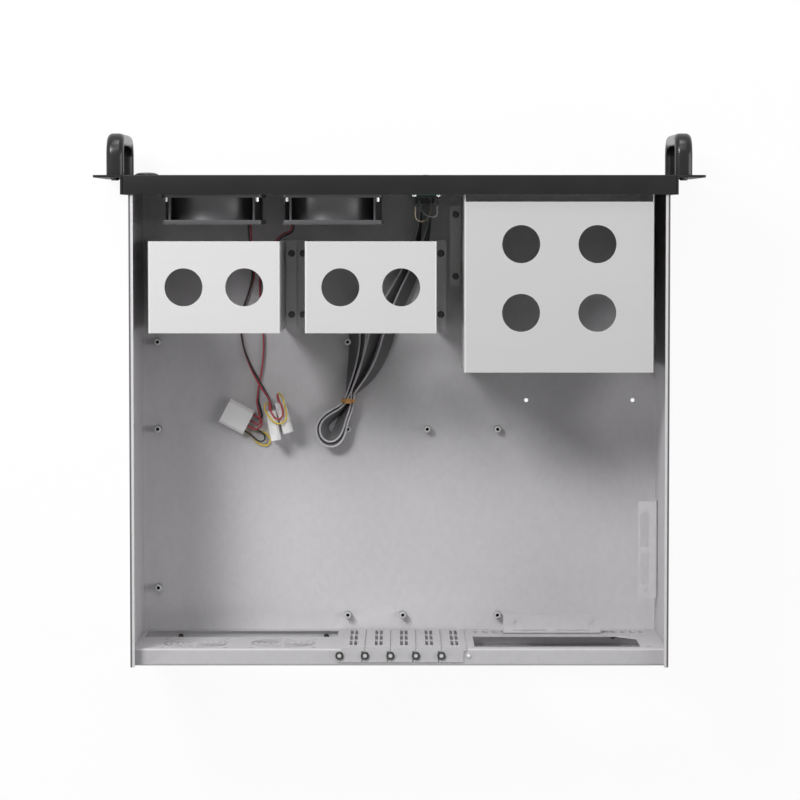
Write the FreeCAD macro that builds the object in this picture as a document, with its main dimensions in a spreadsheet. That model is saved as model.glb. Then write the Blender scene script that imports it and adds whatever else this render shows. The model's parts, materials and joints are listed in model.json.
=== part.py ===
import FreeCAD, Part
import math
import os
import types
import Sketcher

# An empty 3U rackmount server case with its top cover off.
# Frame: X = 0 is the centre plane, Y = 0 the plane where the ears meet the rack, Z = 0 the underside.
# The front faces -Y, so +X is on the right of someone who looks at the front.

DOC = FreeCAD.newDocument("RackmountCase")
SHEET = DOC.addObject("Spreadsheet::Sheet", "Sizes")

SIZES = [
    # rack standard
    ("panel_width", 482.6, "over both rack ears"),
    ("panel_height", 132.5, "three rack units less clearance"),
    ("rack_hole_span", 465.12, "between the two columns of rack slots"),
    ("rack_hole_rise", 57.15, "between the two rack slots of one ear"),
    ("rack_slot_length", 10.0, "end to end"),
    ("rack_slot_width", 7.0, "across"),
    # sheet stock
    ("sheet", 1.0, "galvanised sheet thickness"),
    ("bend", 0.8, "inside radius of a sheet bend"),
    ("seat_gap", 0.1, "clearance between seated pieces"),
    # tray
    ("body_width", 427.2, "outside of the side walls"),
    ("body_back", 388.0, "rear edge of floor and side walls"),
    ("rim_drop", 1.5, "rims of the side walls below the panel's top"),
    ("rim_width", 3.6, "inward rim on each side wall"),
    ("rear_lip", 3.4, "lip along the rear edge of the floor"),
    ("psu_lip", 12.0, "lip behind the power supply opening"),
    # front bezel, bulkhead and ears
    ("bezel_sheet", 1.2, "bezel and bulkhead sheet"),
    ("bezel_front", -2.0, "front face of bezel and ears"),
    ("bezel_back", 13.4, "rear edge of the bezel sides and top"),
    ("bulkhead_back", 12.0, "rear face of the bulkhead"),
    ("ear_thickness", 2.0, "rack ear plate"),
    ("ear_reach", 21.55, "ear plate outside the bezel"),
    ("ear_corner", 3.0, "corner radius of an ear plate"),
    # handles
    ("handle_centre", 225.1, "from the centre plane"),
    ("handle_reach", 33.4, "front of the handle from the ears' front"),
    ("handle_span", 96.0, "between the two feet of a handle"),
    ("handle_width", 13.8, "section across"),
    ("handle_depth", 9.6, "section front to back"),
    ("handle_corner", 4.6, "section corner radius"),
    ("handle_turn", 13.0, "centre line radius of a handle's bends"),
    # rear panel
    ("rear_face", 374.2, "inner face of the rear wall"),
    ("shelf_drop", 11.5, "shelf behind the rear wall, below the panel's top"),
    ("shelf_lip", 7.0, "lip turned down at the shelf's edge"),
    ("io_margin", 4.45, "from the connector opening to the body's side"),
    ("io_width", 158.75, "connector opening width"),
    ("io_low", 5.8, "connector opening lower edge"),
    ("io_height", 44.45, "connector opening height"),
    ("grille_margin", 120.0, "from the inner rear fan grille's centre to the body's side"),
    ("grille_pitch", 70.6, "between the two rear fan grilles"),
    ("grille_drop", 33.0, "rear fan grille centres below the shelf"),
    ("grille_first", 5.0, "radius of the grille's middle disc"),
    ("grille_gap", 3.1, "width of a grille ring opening"),
    ("grille_bar", 1.5, "width of a grille ring bar"),
    ("grille_spoke", 2.6, "width of a grille spoke"),
    ("rear_fan_holes", 50.0, "screw spacing of a 60 mm fan"),
    ("fan_hole", 2.2, "radius of a fan screw hole"),
    ("slot_margin", 176.6, "from the first card slot's centre to the body's side"),
    ("slot_pitch", 20.32, "card slot spacing"),
    ("slot_width", 13.0, "card slot opening"),
    ("slot_low", 9.0, "card slot lower end"),
    ("slot_drop", 9.0, "card slot upper end below the shelf"),
    ("slot_screw_side", 10.8, "slot screw from the slot's centre"),
    ("slot_screw_back", 5.5, "slot screw behind the rear wall's inner face"),
    ("cover_width", 18.4, "slot cover blade width"),
    ("cover_sheet", 0.8, "slot cover thickness"),
    ("cover_tab", 11.0, "slot cover tab from the wall's inner face"),
    ("cover_wing", 3.2, "slot cover tab beyond its blade"),
    ("cover_vent_side", 1.9, "slot cover vents from the blade's middle"),
    ("cover_vent_length", 29.0, "slot cover vent"),
    ("cover_vent_pitch", 32.5, "slot cover vents, one above the other"),
    ("cover_vent_width", 2.4, "slot cover vent"),
    ("psu_margin", 20.3, "from the power supply opening to the body's side"),
    ("psu_clear", 15.72, "from the power supply opening to the last card slot's centre"),
    ("psu_low", 43.0, "power supply opening, lower edge"),
    ("psu_drop", 10.5, "power supply opening's upper edge below the shelf"),
    ("psu_notch", 15.4, "cut corner of the power supply opening"),
    ("psu_screw_gap", 64.0, "between the two screws at a power supply's side"),
    ("psu_screw_side", 6.8, "power supply screws outside the opening"),
    ("vent_margin", 13.1, "from the vent row to the body's side"),
    ("vent_pitch", 7.6, "vent slot spacing"),
    ("vent_width", 4.9, "vent slot width"),
    ("vent_low", 14.0, "vent slot lower end"),
    ("vent_high", 24.0, "vent slot upper end"),
    # floor
    ("board_margin", 13.2, "from the first standoff column to the body's side"),
    ("board_y", 361.7, "rear standoff row"),
    ("standoff_height", 8.0, "top of a standoff"),
    ("standoff_radius", 2.9, "standoff outside"),
    ("standoff_hole", 1.45, "threaded hole in a standoff"),
    ("floor_hole", 1.65, "free hole in the floor"),
    ("flange_screw_back", 5.8, "rear panel's floor screws behind its wall"),
    # drive cages
    ("cage_drop", 4.5, "tops of the drive cages below the panel's top"),
    ("cage_spread", 0.24392, "width of a 3.5 inch cage against the body's width"),
    ("cage_depth", 72.5, "3.5 inch cage front to back"),
    ("cage_front", 50.2, "front edge of the 3.5 inch cages"),
    ("cage_margin", 15.1, "from the first 3.5 inch cage to the body's side"),
    ("cage_between", 19.6, "between the two 3.5 inch cages"),
    ("foot_width", 9.3, "cage foot outside its wall"),
    ("cage_hole", 15.0, "radius of the round holes in the cage tops"),
    ("cage_hole_side", 24.0, "round hole from a 3.5 inch cage's centre"),
    ("cage_screw_rise", 25.3, "foot screw from the cage's middle"),
    ("drive_pitch", 30.0, "between two drives in a cage"),
    ("drive_hole_gap", 60.3, "between two side screws of a drive"),
    ("bay_margin", 12.4, "from the 5.25 inch cage to the body's side"),
    ("bay_width", 150.0, "5.25 inch cage over its walls"),
    ("bay_front", 19.0, "front edge of the 5.25 inch cage's top"),
    ("bay_back", 153.8, "rear edge of the 5.25 inch cage"),
    ("bay_hole_side", 30.1, "round hole from the bay cage's centre"),
    ("bay_hole_front", 33.4, "first round holes behind the top's front edge"),
    ("bay_hole_gap", 54.2, "between front and rear round holes"),
    ("bay_foot_front", 21.4, "front end of the bay cage's feet"),
    ("bay_foot_back", 87.9, "rear end of the bay cage's feet"),
    ("bay_tab", 6.5, "tab turned outward at the bulkhead"),
    ("blank_low", 4.2, "lower edge of the lowest bay"),
    ("blank_high", 4.1, "upper edge of the highest bay below the panel's top"),
    # fans
    ("fan_size", 80.0, "square fan frame"),
    ("fan_depth", 25.0, "fan frame front to back"),
    ("fan_flange", 3.6, "thickness of a fan flange"),
    ("fan_bore", 37.8, "inside radius of the fan barrel"),
    ("fan_wall", 1.3, "fan barrel wall"),
    ("fan_screw_side", 35.75, "fan screw from the fan's axis"),
    ("fan_margin", 64.25, "from the first fan's axis to the body's side"),
    ("fan_pitch", 96.15, "between the two fans' axes"),
    ("fan_drop", 66.3, "fan axes below the panel's top"),
    ("hub_radius", 17.0, "rotor hub"),
    ("blade_clearance", 1.0, "blade tips to the barrel"),
    ("shaft_radius", 1.6, "rotor shaft"),
    ("shaft_clearance", 0.05, "running clearance of the shaft"),
    # power supply rests
    ("rest_height", 32.0, "top of the rest brackets"),
    ("rest_length", 79.6, "rest bracket length"),
    ("rest_width", 16.0, "rest bracket ledge"),
    ("rear_rest_margin", 88.2, "from the rear rest bracket's middle to the body's side"),
    ("side_rest_gap", 69.9, "from the side rest bracket's middle to the rear wall"),
    ("rest_dimple", 2.4, "radius of a pressed dimple on a rest bracket"),
    ("rest_dimple_end", 7.9, "dimple from the end of a rest bracket"),
    ("rest_window", 27.0, "length of a window in a rest bracket"),
    ("rest_window_gap", 4.2, "between the two windows of a rest bracket"),
    # front controls
    ("power_margin", 13.85, "from the power button's axis to the bezel's side"),
    ("power_radius", 9.5, "power button dome"),
    ("power_proud", 2.9, "dome ahead of the bezel"),
    ("power_travel", 1.6, "power button travel"),
    ("button_gap", 0.3, "clearance round a button"),
    ("board_centre", -21.5, "centre of the front board"),
    ("board_width", 26.0, "front board width"),
    ("board_low", 2.6, "front board lower edge"),
    ("board_drop", 14.5, "front board upper edge below the panel's top"),
    ("board_thickness", 1.6, "front board thickness"),
    ("reset_height", 50.0, "reset button axis"),
    ("reset_radius", 2.6, "reset button"),
    ("reset_travel", 1.0, "reset button travel"),
    ("lamp_height", 66.0, "indicator lamps"),
    ("lamp_radius", 1.5, "indicator lamp"),
    ("port_side", 6.4, "USB socket and lamp from the board's centre"),
    ("port_height", 92.0, "centre of the USB sockets"),
    # cords and plugs
    ("wire_radius", 0.75, "fan lead and jumper wires"),
    ("lamp_wire_radius", 0.5, "thin leads on the front board"),
    ("ribbon_thickness", 1.1, "ribbon cable"),
    ("ribbon_width", 12.0, "ribbon cable, standing on edge"),
    ("ribbon_foot", 2.4, "lower edge of the ribbon cables"),
    ("tie_thickness", 1.0, "cable tie round the ribbons"),
    ("board_screw", 1.3, "front board screw hole"),
    ("plug_length", 22.4, "power plug"),
    ("plug_width", 21.6, "power plug"),
    ("plug_depth", 8.0, "power plug"),
    ("plug_corner", 2.2, "cut corner of a power plug"),
    ("plug_pitch", 5.08, "between two wires of a power plug"),
]


class Size:
    """A length that knows its value and the spreadsheet expression it comes from."""

    def __init__(self, value, text):
        self.value = float(value)
        self.text = text

    def __add__(self, other):
        other = as_size(other)
        return Size(self.value + other.value, "(%s + %s)" % (self.text, other.text))

    def __sub__(self, other):
        other = as_size(other)
        return Size(self.value - other.value, "(%s - %s)" % (self.text, other.text))

    def __mul__(self, other):
        other = as_size(other)
        return Size(self.value * other.value, "(%s * %s)" % (self.text, other.text))

    def __truediv__(self, other):
        other = as_size(other)
        return Size(self.value / other.value, "(%s / %s)" % (self.text, other.text))

    def __neg__(self):
        return Size(-self.value, "(-1 * %s)" % self.text)

    def __radd__(self, other):
        return as_size(other) + self

    def __rsub__(self, other):
        return as_size(other) - self

    def __rmul__(self, other):
        return as_size(other) * self


def as_size(value):
    """A plain number as a Size."""
    if isinstance(value, Size):
        return value
    return Size(value, "%g" % value if value >= 0 else "(%g)" % value)


def write_sheet():
    """Put every driving size in its own cell with an alias, and return them by name."""
    named = types.SimpleNamespace()
    for row, (name, value, note) in enumerate(SIZES, 1):
        SHEET.set("A%d" % row, name)
        SHEET.set("B%d" % row, str(value))
        SHEET.set("C%d" % row, note)
        SHEET.setAlias("B%d" % row, name)
        setattr(named, name, Size(value, "Sizes.%s" % name))
    DOC.recompute()
    return named


d = write_sheet()
NODES = []

# sizes that follow from the panel's height and the body's width
d.wall_height = d.panel_height - d.rim_drop
d.shelf_height = d.panel_height - d.shelf_drop
d.cage_top = d.panel_height - d.cage_drop
d.fan_height = d.panel_height - d.fan_drop
d.board_high = d.panel_height - d.board_drop
d.blank_pitch = (d.panel_height - d.blank_high - d.blank_low) / 3
d.grille_height = d.shelf_height - d.grille_drop
d.slot_high = d.shelf_height - d.slot_drop
d.psu_high = d.shelf_height - d.psu_drop
d.side = d.body_width / 2
d.io_left = d.side - d.io_margin - d.io_width
d.grille_low_x = d.side - d.grille_margin
d.slot_first_x = d.side - d.slot_margin
d.slot_last_x = d.slot_first_x - d.slot_pitch * 4
d.psu_left = d.psu_margin - d.side
d.psu_right = d.slot_last_x - d.psu_clear
d.vent_first_x = d.vent_margin - d.side
d.board_x = d.side - d.board_margin
d.cage_width = d.body_width * d.cage_spread
d.cage_1_x = d.side - d.cage_margin - d.cage_width / 2
d.cage_2_x = d.cage_1_x - d.cage_width - d.cage_between
d.bay_left = d.bay_margin - d.side
d.fan_1_x = d.side - d.fan_margin
d.fan_2_x = d.fan_1_x - d.fan_pitch
d.rear_rest_x = d.rear_rest_margin - d.side
d.side_rest_y = d.rear_face - d.side_rest_gap


def bind(item, field, size):
    """Tie one property of a document object to the spreadsheet."""
    item.setExpression(field, as_size(size).text)


def keep(item, name):
    """Name a finished sub-part; its label is its file name."""
    item.Label = name
    NODES.append(item)
    return item


def new_body(name):
    body = DOC.addObject("PartDesign::Body", name)
    body.AllowCompound = True
    return body


def place(item, x=0, y=0, z=0):
    """Bind a sub-part's position."""
    for field, size in (("x", x), ("y", y), ("z", z)):
        bind(item, "Placement.Base.%s" % field, size)


def origin_part(body, role):
    """One of a body's own origin planes or axes."""
    return [part for part in body.Origin.OriginFeatures if part.Role == role][0]


class Drawing:
    """A sketch on one of its body's origin planes, at a distance along the plane's axis.

    XY drawings use (x, y), XZ drawings (x, z) and YZ drawings (y, z).
    """

    def __init__(self, body, plane, at=0):
        self.body = body
        self.plane = plane
        self.sketch = body.newObject("Sketcher::SketchObject", "Sketch")
        self.sketch.AttachmentSupport = [(origin_part(body, plane + "_Plane"), "")]
        self.sketch.MapMode = "FlatFace"
        at = as_size(at)
        bind(self.sketch, "AttachmentOffset.Base.z", -at if plane == "XZ" else at)
        self.geometry = []
        self.rules = []

    def _rule(self, *words, size=None):
        self.rules.append((Sketcher.Constraint(*words), size))

    def _at(self, index, end, x, y):
        """Fix a point of a piece of geometry by its two distances from the origin."""
        for kind, axis, size in (("DistanceX", -2, as_size(x)), ("DistanceY", -1, as_size(y))):
            if size.text == "0":
                self._rule("PointOnObject", index, end, axis)
            else:
                self._rule(kind, -1, 1, index, end, size.value, size=size)

    def polygon(self, points):
        """A closed outline through points given as (size, size)."""
        first = len(self.geometry)
        count = len(points)
        spots = [FreeCAD.Vector(as_size(x).value, as_size(y).value, 0) for x, y in points]
        for i in range(count):
            self.geometry.append(Part.LineSegment(spots[i], spots[(i + 1) % count]))
        for i, (x, y) in enumerate(points):
            self._rule("Coincident", first + i, 2, first + (i + 1) % count, 1)
            self._at(first + i, 1, x, y)
        return self

    def rectangle(self, left, low, right, high):
        return self.polygon([(left, low), (right, low), (right, high), (left, high)])

    def circle(self, x, y, radius):
        index = len(self.geometry)
        x, y, radius = as_size(x), as_size(y), as_size(radius)
        centre = FreeCAD.Vector(x.value, y.value, 0)
        self.geometry.append(Part.Circle(centre, FreeCAD.Vector(0, 0, 1), radius.value))
        self._at(index, 3, x, y)
        self._rule("Radius", index, radius.value, size=radius)
        return self

    def _arc(self, x, y, radius, start, end):
        centre = FreeCAD.Vector(x, y, 0)
        ring = Part.Circle(centre, FreeCAD.Vector(0, 0, 1), radius)
        self.geometry.append(Part.ArcOfCircle(ring, math.radians(start), math.radians(end)))

    def slot(self, x, y, length, width, upright=False):
        """A slot with round ends, centred on a point; length is end to end."""
        x, y, radius = as_size(x), as_size(y), as_size(width) / 2
        half = (as_size(length) - width) / 2
        ends = ((x, y - half), (x, y + half)) if upright else ((x - half, y), (x + half, y))
        (ax, ay), (bx, by) = ends
        first = len(self.geometry)
        turn = 90 if upright else 0
        r = radius.value
        side = FreeCAD.Vector(r if upright else 0, 0 if upright else r, 0)
        a = FreeCAD.Vector(ax.value, ay.value, 0)
        b = FreeCAD.Vector(bx.value, by.value, 0)
        self._arc(a.x, a.y, r, 90 + turn, 270 + turn)
        self._arc(b.x, b.y, r, 270 + turn, 450 + turn)
        sign = -1 if upright else 1
        self.geometry.append(Part.LineSegment(a - side * sign, b - side * sign))
        self.geometry.append(Part.LineSegment(b + side * sign, a + side * sign))
        self._rule("Tangent", first, 2, first + 2, 1)
        self._rule("Tangent", first + 2, 2, first + 1, 1)
        self._rule("Tangent", first + 1, 2, first + 3, 1)
        self._rule("Tangent", first + 3, 2, first, 1)
        self._at(first, 3, ax, ay)
        self._at(first + 1, 3, bx, by)
        self._rule("Radius", first, r, size=radius)
        return self

    def rounded(self, left, low, right, high, radius):
        """A rectangle with round corners."""
        left, low, right, high = as_size(left), as_size(low), as_size(right), as_size(high)
        radius = as_size(radius)
        r = radius.value
        x0, y0, x1, y1 = left.value, low.value, right.value, high.value
        first = len(self.geometry)
        corners = ((x1 - r, y0 + r, 270), (x1 - r, y1 - r, 0), (x0 + r, y1 - r, 90), (x0 + r, y0 + r, 180))
        lines = (((x0 + r, y0), (x1 - r, y0)), ((x1, y0 + r), (x1, y1 - r)),
                 ((x1 - r, y1), (x0 + r, y1)), ((x0, y1 - r), (x0, y0 + r)))
        for (start, end), (cx, cy, angle) in zip(lines, corners):
            self.geometry.append(Part.LineSegment(FreeCAD.Vector(*start, 0), FreeCAD.Vector(*end, 0)))
            self._arc(cx, cy, r, angle, angle + 90)
        for i in range(4):
            line, arc, after = first + 2 * i, first + 2 * i + 1, first + (2 * i + 2) % 8
            self._rule("Tangent", line, 2, arc, 1)
            self._rule("Tangent", arc, 2, after, 1)
            self._rule("Vertical" if i % 2 else "Horizontal", line)
            if i:
                self._rule("Equal", first + 1, arc)
        self._rule("Radius", first + 1, r, size=radius)
        for line, kind, size in ((0, "DistanceY", low), (2, "DistanceX", right),
                                 (4, "DistanceY", high), (6, "DistanceX", left)):
            if size.text == "0":
                self._rule("PointOnObject", first + line, 1, -2 if kind == "DistanceX" else -1)
            else:
                self._rule(kind, -1, 1, first + line, 1, size.value, size=size)
        return self

    def close(self):
        """Write the geometry and its bound constraints into the sketch."""
        self.sketch.addGeometry(self.geometry)
        self.sketch.addConstraint([rule for rule, _ in self.rules])
        for index, (_, size) in enumerate(self.rules):
            if size is not None:
                self.sketch.setExpression("Constraints[%d]" % index, size.text)
        return self.sketch

    def volume(self):
        shape = self.body.Shape
        return 0.0 if shape.isNull() else shape.Volume

    def _feature(self, kind, length):
        feature = self.body.newObject("PartDesign::" + kind, kind)
        feature.Profile = self.close()
        bind(feature, "Length", length)
        return feature

    def pad(self, length):
        """Extrude towards the positive side of the plane's axis."""
        feature = self._feature("Pad", length)
        feature.Reversed = self.plane == "XZ"
        DOC.recompute()
        return feature

    def cut(self, length):
        """Remove material towards the positive side of the plane's axis."""
        before = self.volume()
        feature = self._feature("Pocket", length)
        feature.Reversed = self.plane != "XZ"
        DOC.recompute()
        if not self.volume() < before:
            raise RuntimeError("a cut in %s removes nothing" % self.body.Name)
        return feature

    def revolve(self, groove=False):
        """Turn about the drawing's upright axis."""
        before = self.volume()
        kind = "Groove" if groove else "Revolution"
        feature = self.body.newObject("PartDesign::" + kind, kind)
        feature.Profile = self.close()
        feature.ReferenceAxis = (self.sketch, ["V_Axis"])
        feature.Angle = 360
        DOC.recompute()
        if groove and not self.volume() < before:
            raise RuntimeError("a groove in %s removes nothing" % self.body.Name)
        return feature


def repeat(body, features, axis, length, count):
    """Repeat features in a row along one of the body's origin axes."""
    pattern = body.newObject("PartDesign::LinearPattern", "Row")
    pattern.Originals = features
    pattern.Direction = (origin_part(body, axis + "_Axis"), [""])
    bind(pattern, "Length", length)
    pattern.Occurrences = count
    body.Tip = pattern
    DOC.recompute()
    return pattern


def repeat_round(body, features, count):
    """Repeat features round the body's own Z axis."""
    pattern = body.newObject("PartDesign::PolarPattern", "Ring")
    pattern.Originals = features
    pattern.Axis = (origin_part(body, "Z_Axis"), [""])
    pattern.Angle = 360
    pattern.Occurrences = count
    body.Tip = pattern
    DOC.recompute()
    return pattern


def round_edges(body, radius, chosen):
    """Fillet the edges of the body's last feature that the test picks."""
    base = body.Tip
    names = ["Edge%d" % (i + 1) for i, edge in enumerate(base.Shape.Edges) if chosen(edge)]
    if not names:
        raise RuntimeError("no edge to round in %s" % body.Name)
    fillet = body.newObject("PartDesign::Fillet", "Fillet")
    fillet.Base = (base, names)
    bind(fillet, "Radius", radius)
    DOC.recompute()
    return fillet


def bevel_edges(body, size, chosen):
    """Chamfer the edges of the body's last feature that the test picks."""
    base = body.Tip
    names = ["Edge%d" % (i + 1) for i, edge in enumerate(base.Shape.Edges) if chosen(edge)]
    if not names:
        raise RuntimeError("no edge to bevel in %s" % body.Name)
    bevel = body.newObject("PartDesign::Chamfer", "Bevel")
    bevel.Base = (base, names)
    bind(bevel, "Size", size)
    DOC.recompute()
    return bevel


def runs_along(edge, axis, least=5.0):
    """True for a straight edge along a row axis."""
    if edge.Curve.TypeId != "Part::GeomLine" or edge.Length < least:
        return False
    step = edge.Vertexes[1].Point - edge.Vertexes[0].Point
    return abs(abs(getattr(step, axis)) - edge.Length) < 1e-6


def near(value, *sizes):
    return any(abs(value - as_size(size).value) < 1e-4 for size in sizes)


def bend_edges(body, axis, spots, radius):
    """Round the long edges along an axis that pass through the given spots of the section."""
    first, second = [name for name in "xyz" if name != axis]

    def chosen(edge):
        if not runs_along(edge, axis):
            return False
        point = edge.Vertexes[0].Point
        return any(near(getattr(point, first), a) and near(getattr(point, second), b) for a, b in spots)

    return round_edges(body, radius, chosen)


# ---------------------------------------------------------------- tray and rear panel

HALF_INSIDE = d.side - d.sheet
OUTER_BEND = d.bend + d.sheet
STANDOFF_COLUMNS = (0, 157.48, 203.2, 223.52, 281.94)
STANDOFF_ROWS = (0, 22.86, 154.94, 227.33)
BAY_FIXING_X = (-105.3, -193.6)
BAY_FIXING_BACK = 29.1
STANDOFF_PLACES = ((0, 1), (0, 2), (0, 3), (1, 0), (1, 2), (1, 3), (2, 0), (3, 2), (4, 0), (4, 2))


def build_tray():
    """Floor, side walls and rims, folded from one sheet."""
    body = new_body("Tray")
    high = d.wall_height
    half = d.side
    front = d.bulkhead_back + d.seat_gap / 2
    outline = Drawing(body, "XZ", front)
    right_side = [(half, 0), (half, high), (half - d.rim_width, high),
                  (half - d.rim_width, high - d.sheet), (half - d.sheet, high - d.sheet),
                  (half - d.sheet, d.sheet)]
    left_side = [(-as_size(x), z) for x, z in reversed(right_side)]
    outline.polygon(right_side + left_side)
    outline.pad(d.body_back - front)
    spots = [(half, 0), (-half, 0), (half, high), (-half, high)]
    bend_edges(body, "y", spots, OUTER_BEND)
    inside = half - d.sheet
    spots = [(inside, d.sheet), (-inside, d.sheet), (inside, high - d.sheet), (-inside, high - d.sheet)]
    bend_edges(body, "y", spots, d.bend)
    lip = Drawing(body, "XZ", d.body_back - d.sheet)
    flat = d.side - OUTER_BEND
    lip.polygon([(-flat, 0), (flat, 0), (flat, d.rear_lip), (d.slot_last_x, d.rear_lip),
                 (d.slot_last_x, d.psu_lip), (-flat, d.psu_lip)])
    lip.pad(d.sheet)
    holes = Drawing(body, "XY", 0)
    for x in BAY_FIXING_X:
        holes.circle(x, d.bay_back + BAY_FIXING_BACK, d.floor_hole)
    for x, y in flange_hole_spots():
        holes.circle(x, y, d.floor_hole)
    holes.cut(d.sheet)
    keep(body, "chassis_tray")


def flange_hole_spots():
    """Where the rear wall's bottom flange is fixed to the floor."""
    across = (d.side - 31.6, d.side - 152.8, 35.6 - d.side)
    return [(x, d.rear_face + d.flange_screw_back) for x in across]


def build_rear_panel():
    """Wall, shelf, shelf lip and bottom flange, with all the openings of the back."""
    body = new_body("RearPanel")
    wall = d.rear_face
    outer = wall + d.sheet
    back = d.body_back
    low = d.sheet
    top = d.shelf_height
    half = HALF_INSIDE - d.seat_gap
    outline = Drawing(body, "YZ", -half)
    outline.polygon([(wall, low), (back - 2, low), (back - 2, low + d.sheet), (outer, low + d.sheet),
                     (outer, top - d.sheet), (back - d.sheet, top - d.sheet),
                     (back - d.sheet, top - d.shelf_lip), (back, top - d.shelf_lip),
                     (back, top), (wall, top)])
    outline.pad(half * 2)
    bend_edges(body, "x", [(wall, low), (wall, top), (back, top)], OUTER_BEND)
    inner_bends = [(outer, low + d.sheet), (outer, top - d.sheet), (back - d.sheet, top - d.sheet)]
    bend_edges(body, "x", inner_bends, d.bend)
    corners = Drawing(body, "XZ", wall)
    relief = d.bend + d.seat_gap * 2
    corners.polygon([(half - relief, low), (half, low), (half, low + relief)])
    corners.polygon([(-half, low), (relief - half, low), (-half, low + relief)])
    corners.cut(back - wall)
    flange_holes = Drawing(body, "XY", low)
    for x, y in flange_hole_spots():
        flange_holes.circle(x, y, d.floor_hole)
    flange_holes.cut(d.sheet)
    openings = Drawing(body, "XZ", wall)
    openings.rectangle(d.io_left, d.io_low, d.io_left + d.io_width, d.io_low + d.io_height)
    openings.polygon([(d.psu_left + d.psu_notch, d.psu_low), (d.psu_right, d.psu_low),
                      (d.psu_right, d.psu_high), (d.psu_left, d.psu_high),
                      (d.psu_left, d.psu_low + d.psu_notch)])
    for side in (-1, 1):
        for rise in (-1, 1):
            for number in range(2):
                openings.circle(d.grille_low_x + d.grille_pitch * number + d.rear_fan_holes / 2 * side,
                                d.grille_height + d.rear_fan_holes / 2 * rise, d.fan_hole)
    for rise in (0, 1):
        openings.circle(d.psu_left - d.psu_screw_side, d.psu_low + d.psu_screw_gap * rise, d.fan_hole)
    openings.cut(d.sheet)
    slot = Drawing(body, "XZ", wall)
    slot.rectangle(d.slot_last_x - d.slot_width / 2, d.slot_low, d.slot_last_x + d.slot_width / 2, d.slot_high)
    repeat(body, [slot.cut(d.sheet)], "X", d.slot_pitch * 4, 5)
    vent = Drawing(body, "XZ", wall)
    vent.slot(d.vent_first_x, (d.vent_low + d.vent_high) / 2, d.vent_high - d.vent_low, d.vent_width,
              upright=True)
    repeat(body, [vent.cut(d.sheet)], "X", d.vent_pitch * 18, 19)
    rings = Drawing(body, "XZ", wall)
    for number in range(2):
        x = d.grille_low_x + d.grille_pitch * number
        for ring in range(5):
            inner = d.grille_first + (d.grille_gap + d.grille_bar) * ring
            rings.circle(x, d.grille_height, inner)
            rings.circle(x, d.grille_height, inner + d.grille_gap)
    rings.cut(d.sheet)
    spokes = Drawing(body, "XZ", wall)
    reach = d.grille_first + d.grille_gap * 5 + d.grille_bar * 4 + 1
    half_spoke = d.grille_spoke / 2
    for number in range(2):
        x = d.grille_low_x + d.grille_pitch * number
        low, high = d.grille_height - reach, d.grille_height + reach
        start = d.grille_first - 2
        near_low, near_high = d.grille_height - start, d.grille_height + start
        spokes.rectangle(x - half_spoke, low, x + half_spoke, near_low)
        spokes.rectangle(x - half_spoke, near_high, x + half_spoke, high)
        spokes.rectangle(x - reach, d.grille_height - half_spoke, x - start, d.grille_height + half_spoke)
        spokes.rectangle(x + start, d.grille_height - half_spoke, x + reach, d.grille_height + half_spoke)
    spokes.pad(d.sheet)
    taps = Drawing(body, "XY", top - d.sheet)
    for number in range(5):
        taps.circle(d.slot_first_x - d.slot_pitch * number + d.slot_screw_side,
                    wall + d.slot_screw_back, d.standoff_hole)
    taps.cut(d.sheet)
    boss_x = d.slot_last_x - d.slot_screw_side
    boss = Drawing(body, "XY", top)
    boss.circle(boss_x, wall + d.slot_screw_back, d.fan_hole)
    boss.pad(0.6)
    thread = Drawing(body, "XY", top - d.sheet)
    thread.circle(boss_x, wall + d.slot_screw_back, d.fan_hole / 2)
    thread.cut(d.sheet + 0.6)
    keep(body, "rear_panel")


def build_slot_cover(number):
    """A vented blade inside the rear wall, with a tab bent over the shelf."""
    body = new_body("SlotCover")
    x = d.slot_first_x - d.slot_pitch * (number - 1)
    front = d.rear_face - d.cover_sheet - d.seat_gap
    top = d.shelf_height + d.cover_sheet + d.seat_gap
    tab_back = d.rear_face + d.cover_tab
    half = d.cover_width / 2
    foot = 4.5
    blade = Drawing(body, "YZ", x - half)
    blade.polygon([(front, foot), (front + d.cover_sheet, foot), (front + d.cover_sheet, top - d.cover_sheet),
                   (tab_back, top - d.cover_sheet), (tab_back, top), (front, top)])
    blade.pad(d.cover_width)
    wing = Drawing(body, "XY", top - d.cover_sheet)
    wing.rectangle(x + half - 1, front + 3, x + half + d.cover_wing, tab_back)
    wing.pad(d.cover_sheet)
    relief = Drawing(body, "XY", top - d.cover_sheet)
    relief.rectangle(x - half, d.rear_face + 2, x - half + 2.4, tab_back)
    relief.cut(d.cover_sheet)
    notch = Drawing(body, "XY", top - d.cover_sheet)
    notch.circle(x + d.slot_screw_side, d.rear_face + d.slot_screw_back, d.standoff_hole + 0.6)
    notch.cut(d.cover_sheet)
    vents = Drawing(body, "XZ", front)
    middle = (d.slot_low + d.slot_high) / 2
    for side in (-1, 1):
        for level in (-1, 0, 1):
            vents.slot(x + d.cover_vent_side * side, middle + d.cover_vent_pitch * level,
                       d.cover_vent_length, d.cover_vent_width, upright=True)
    vents.cut(d.cover_sheet)
    keep(body, "slot_cover_%d" % number)


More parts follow.
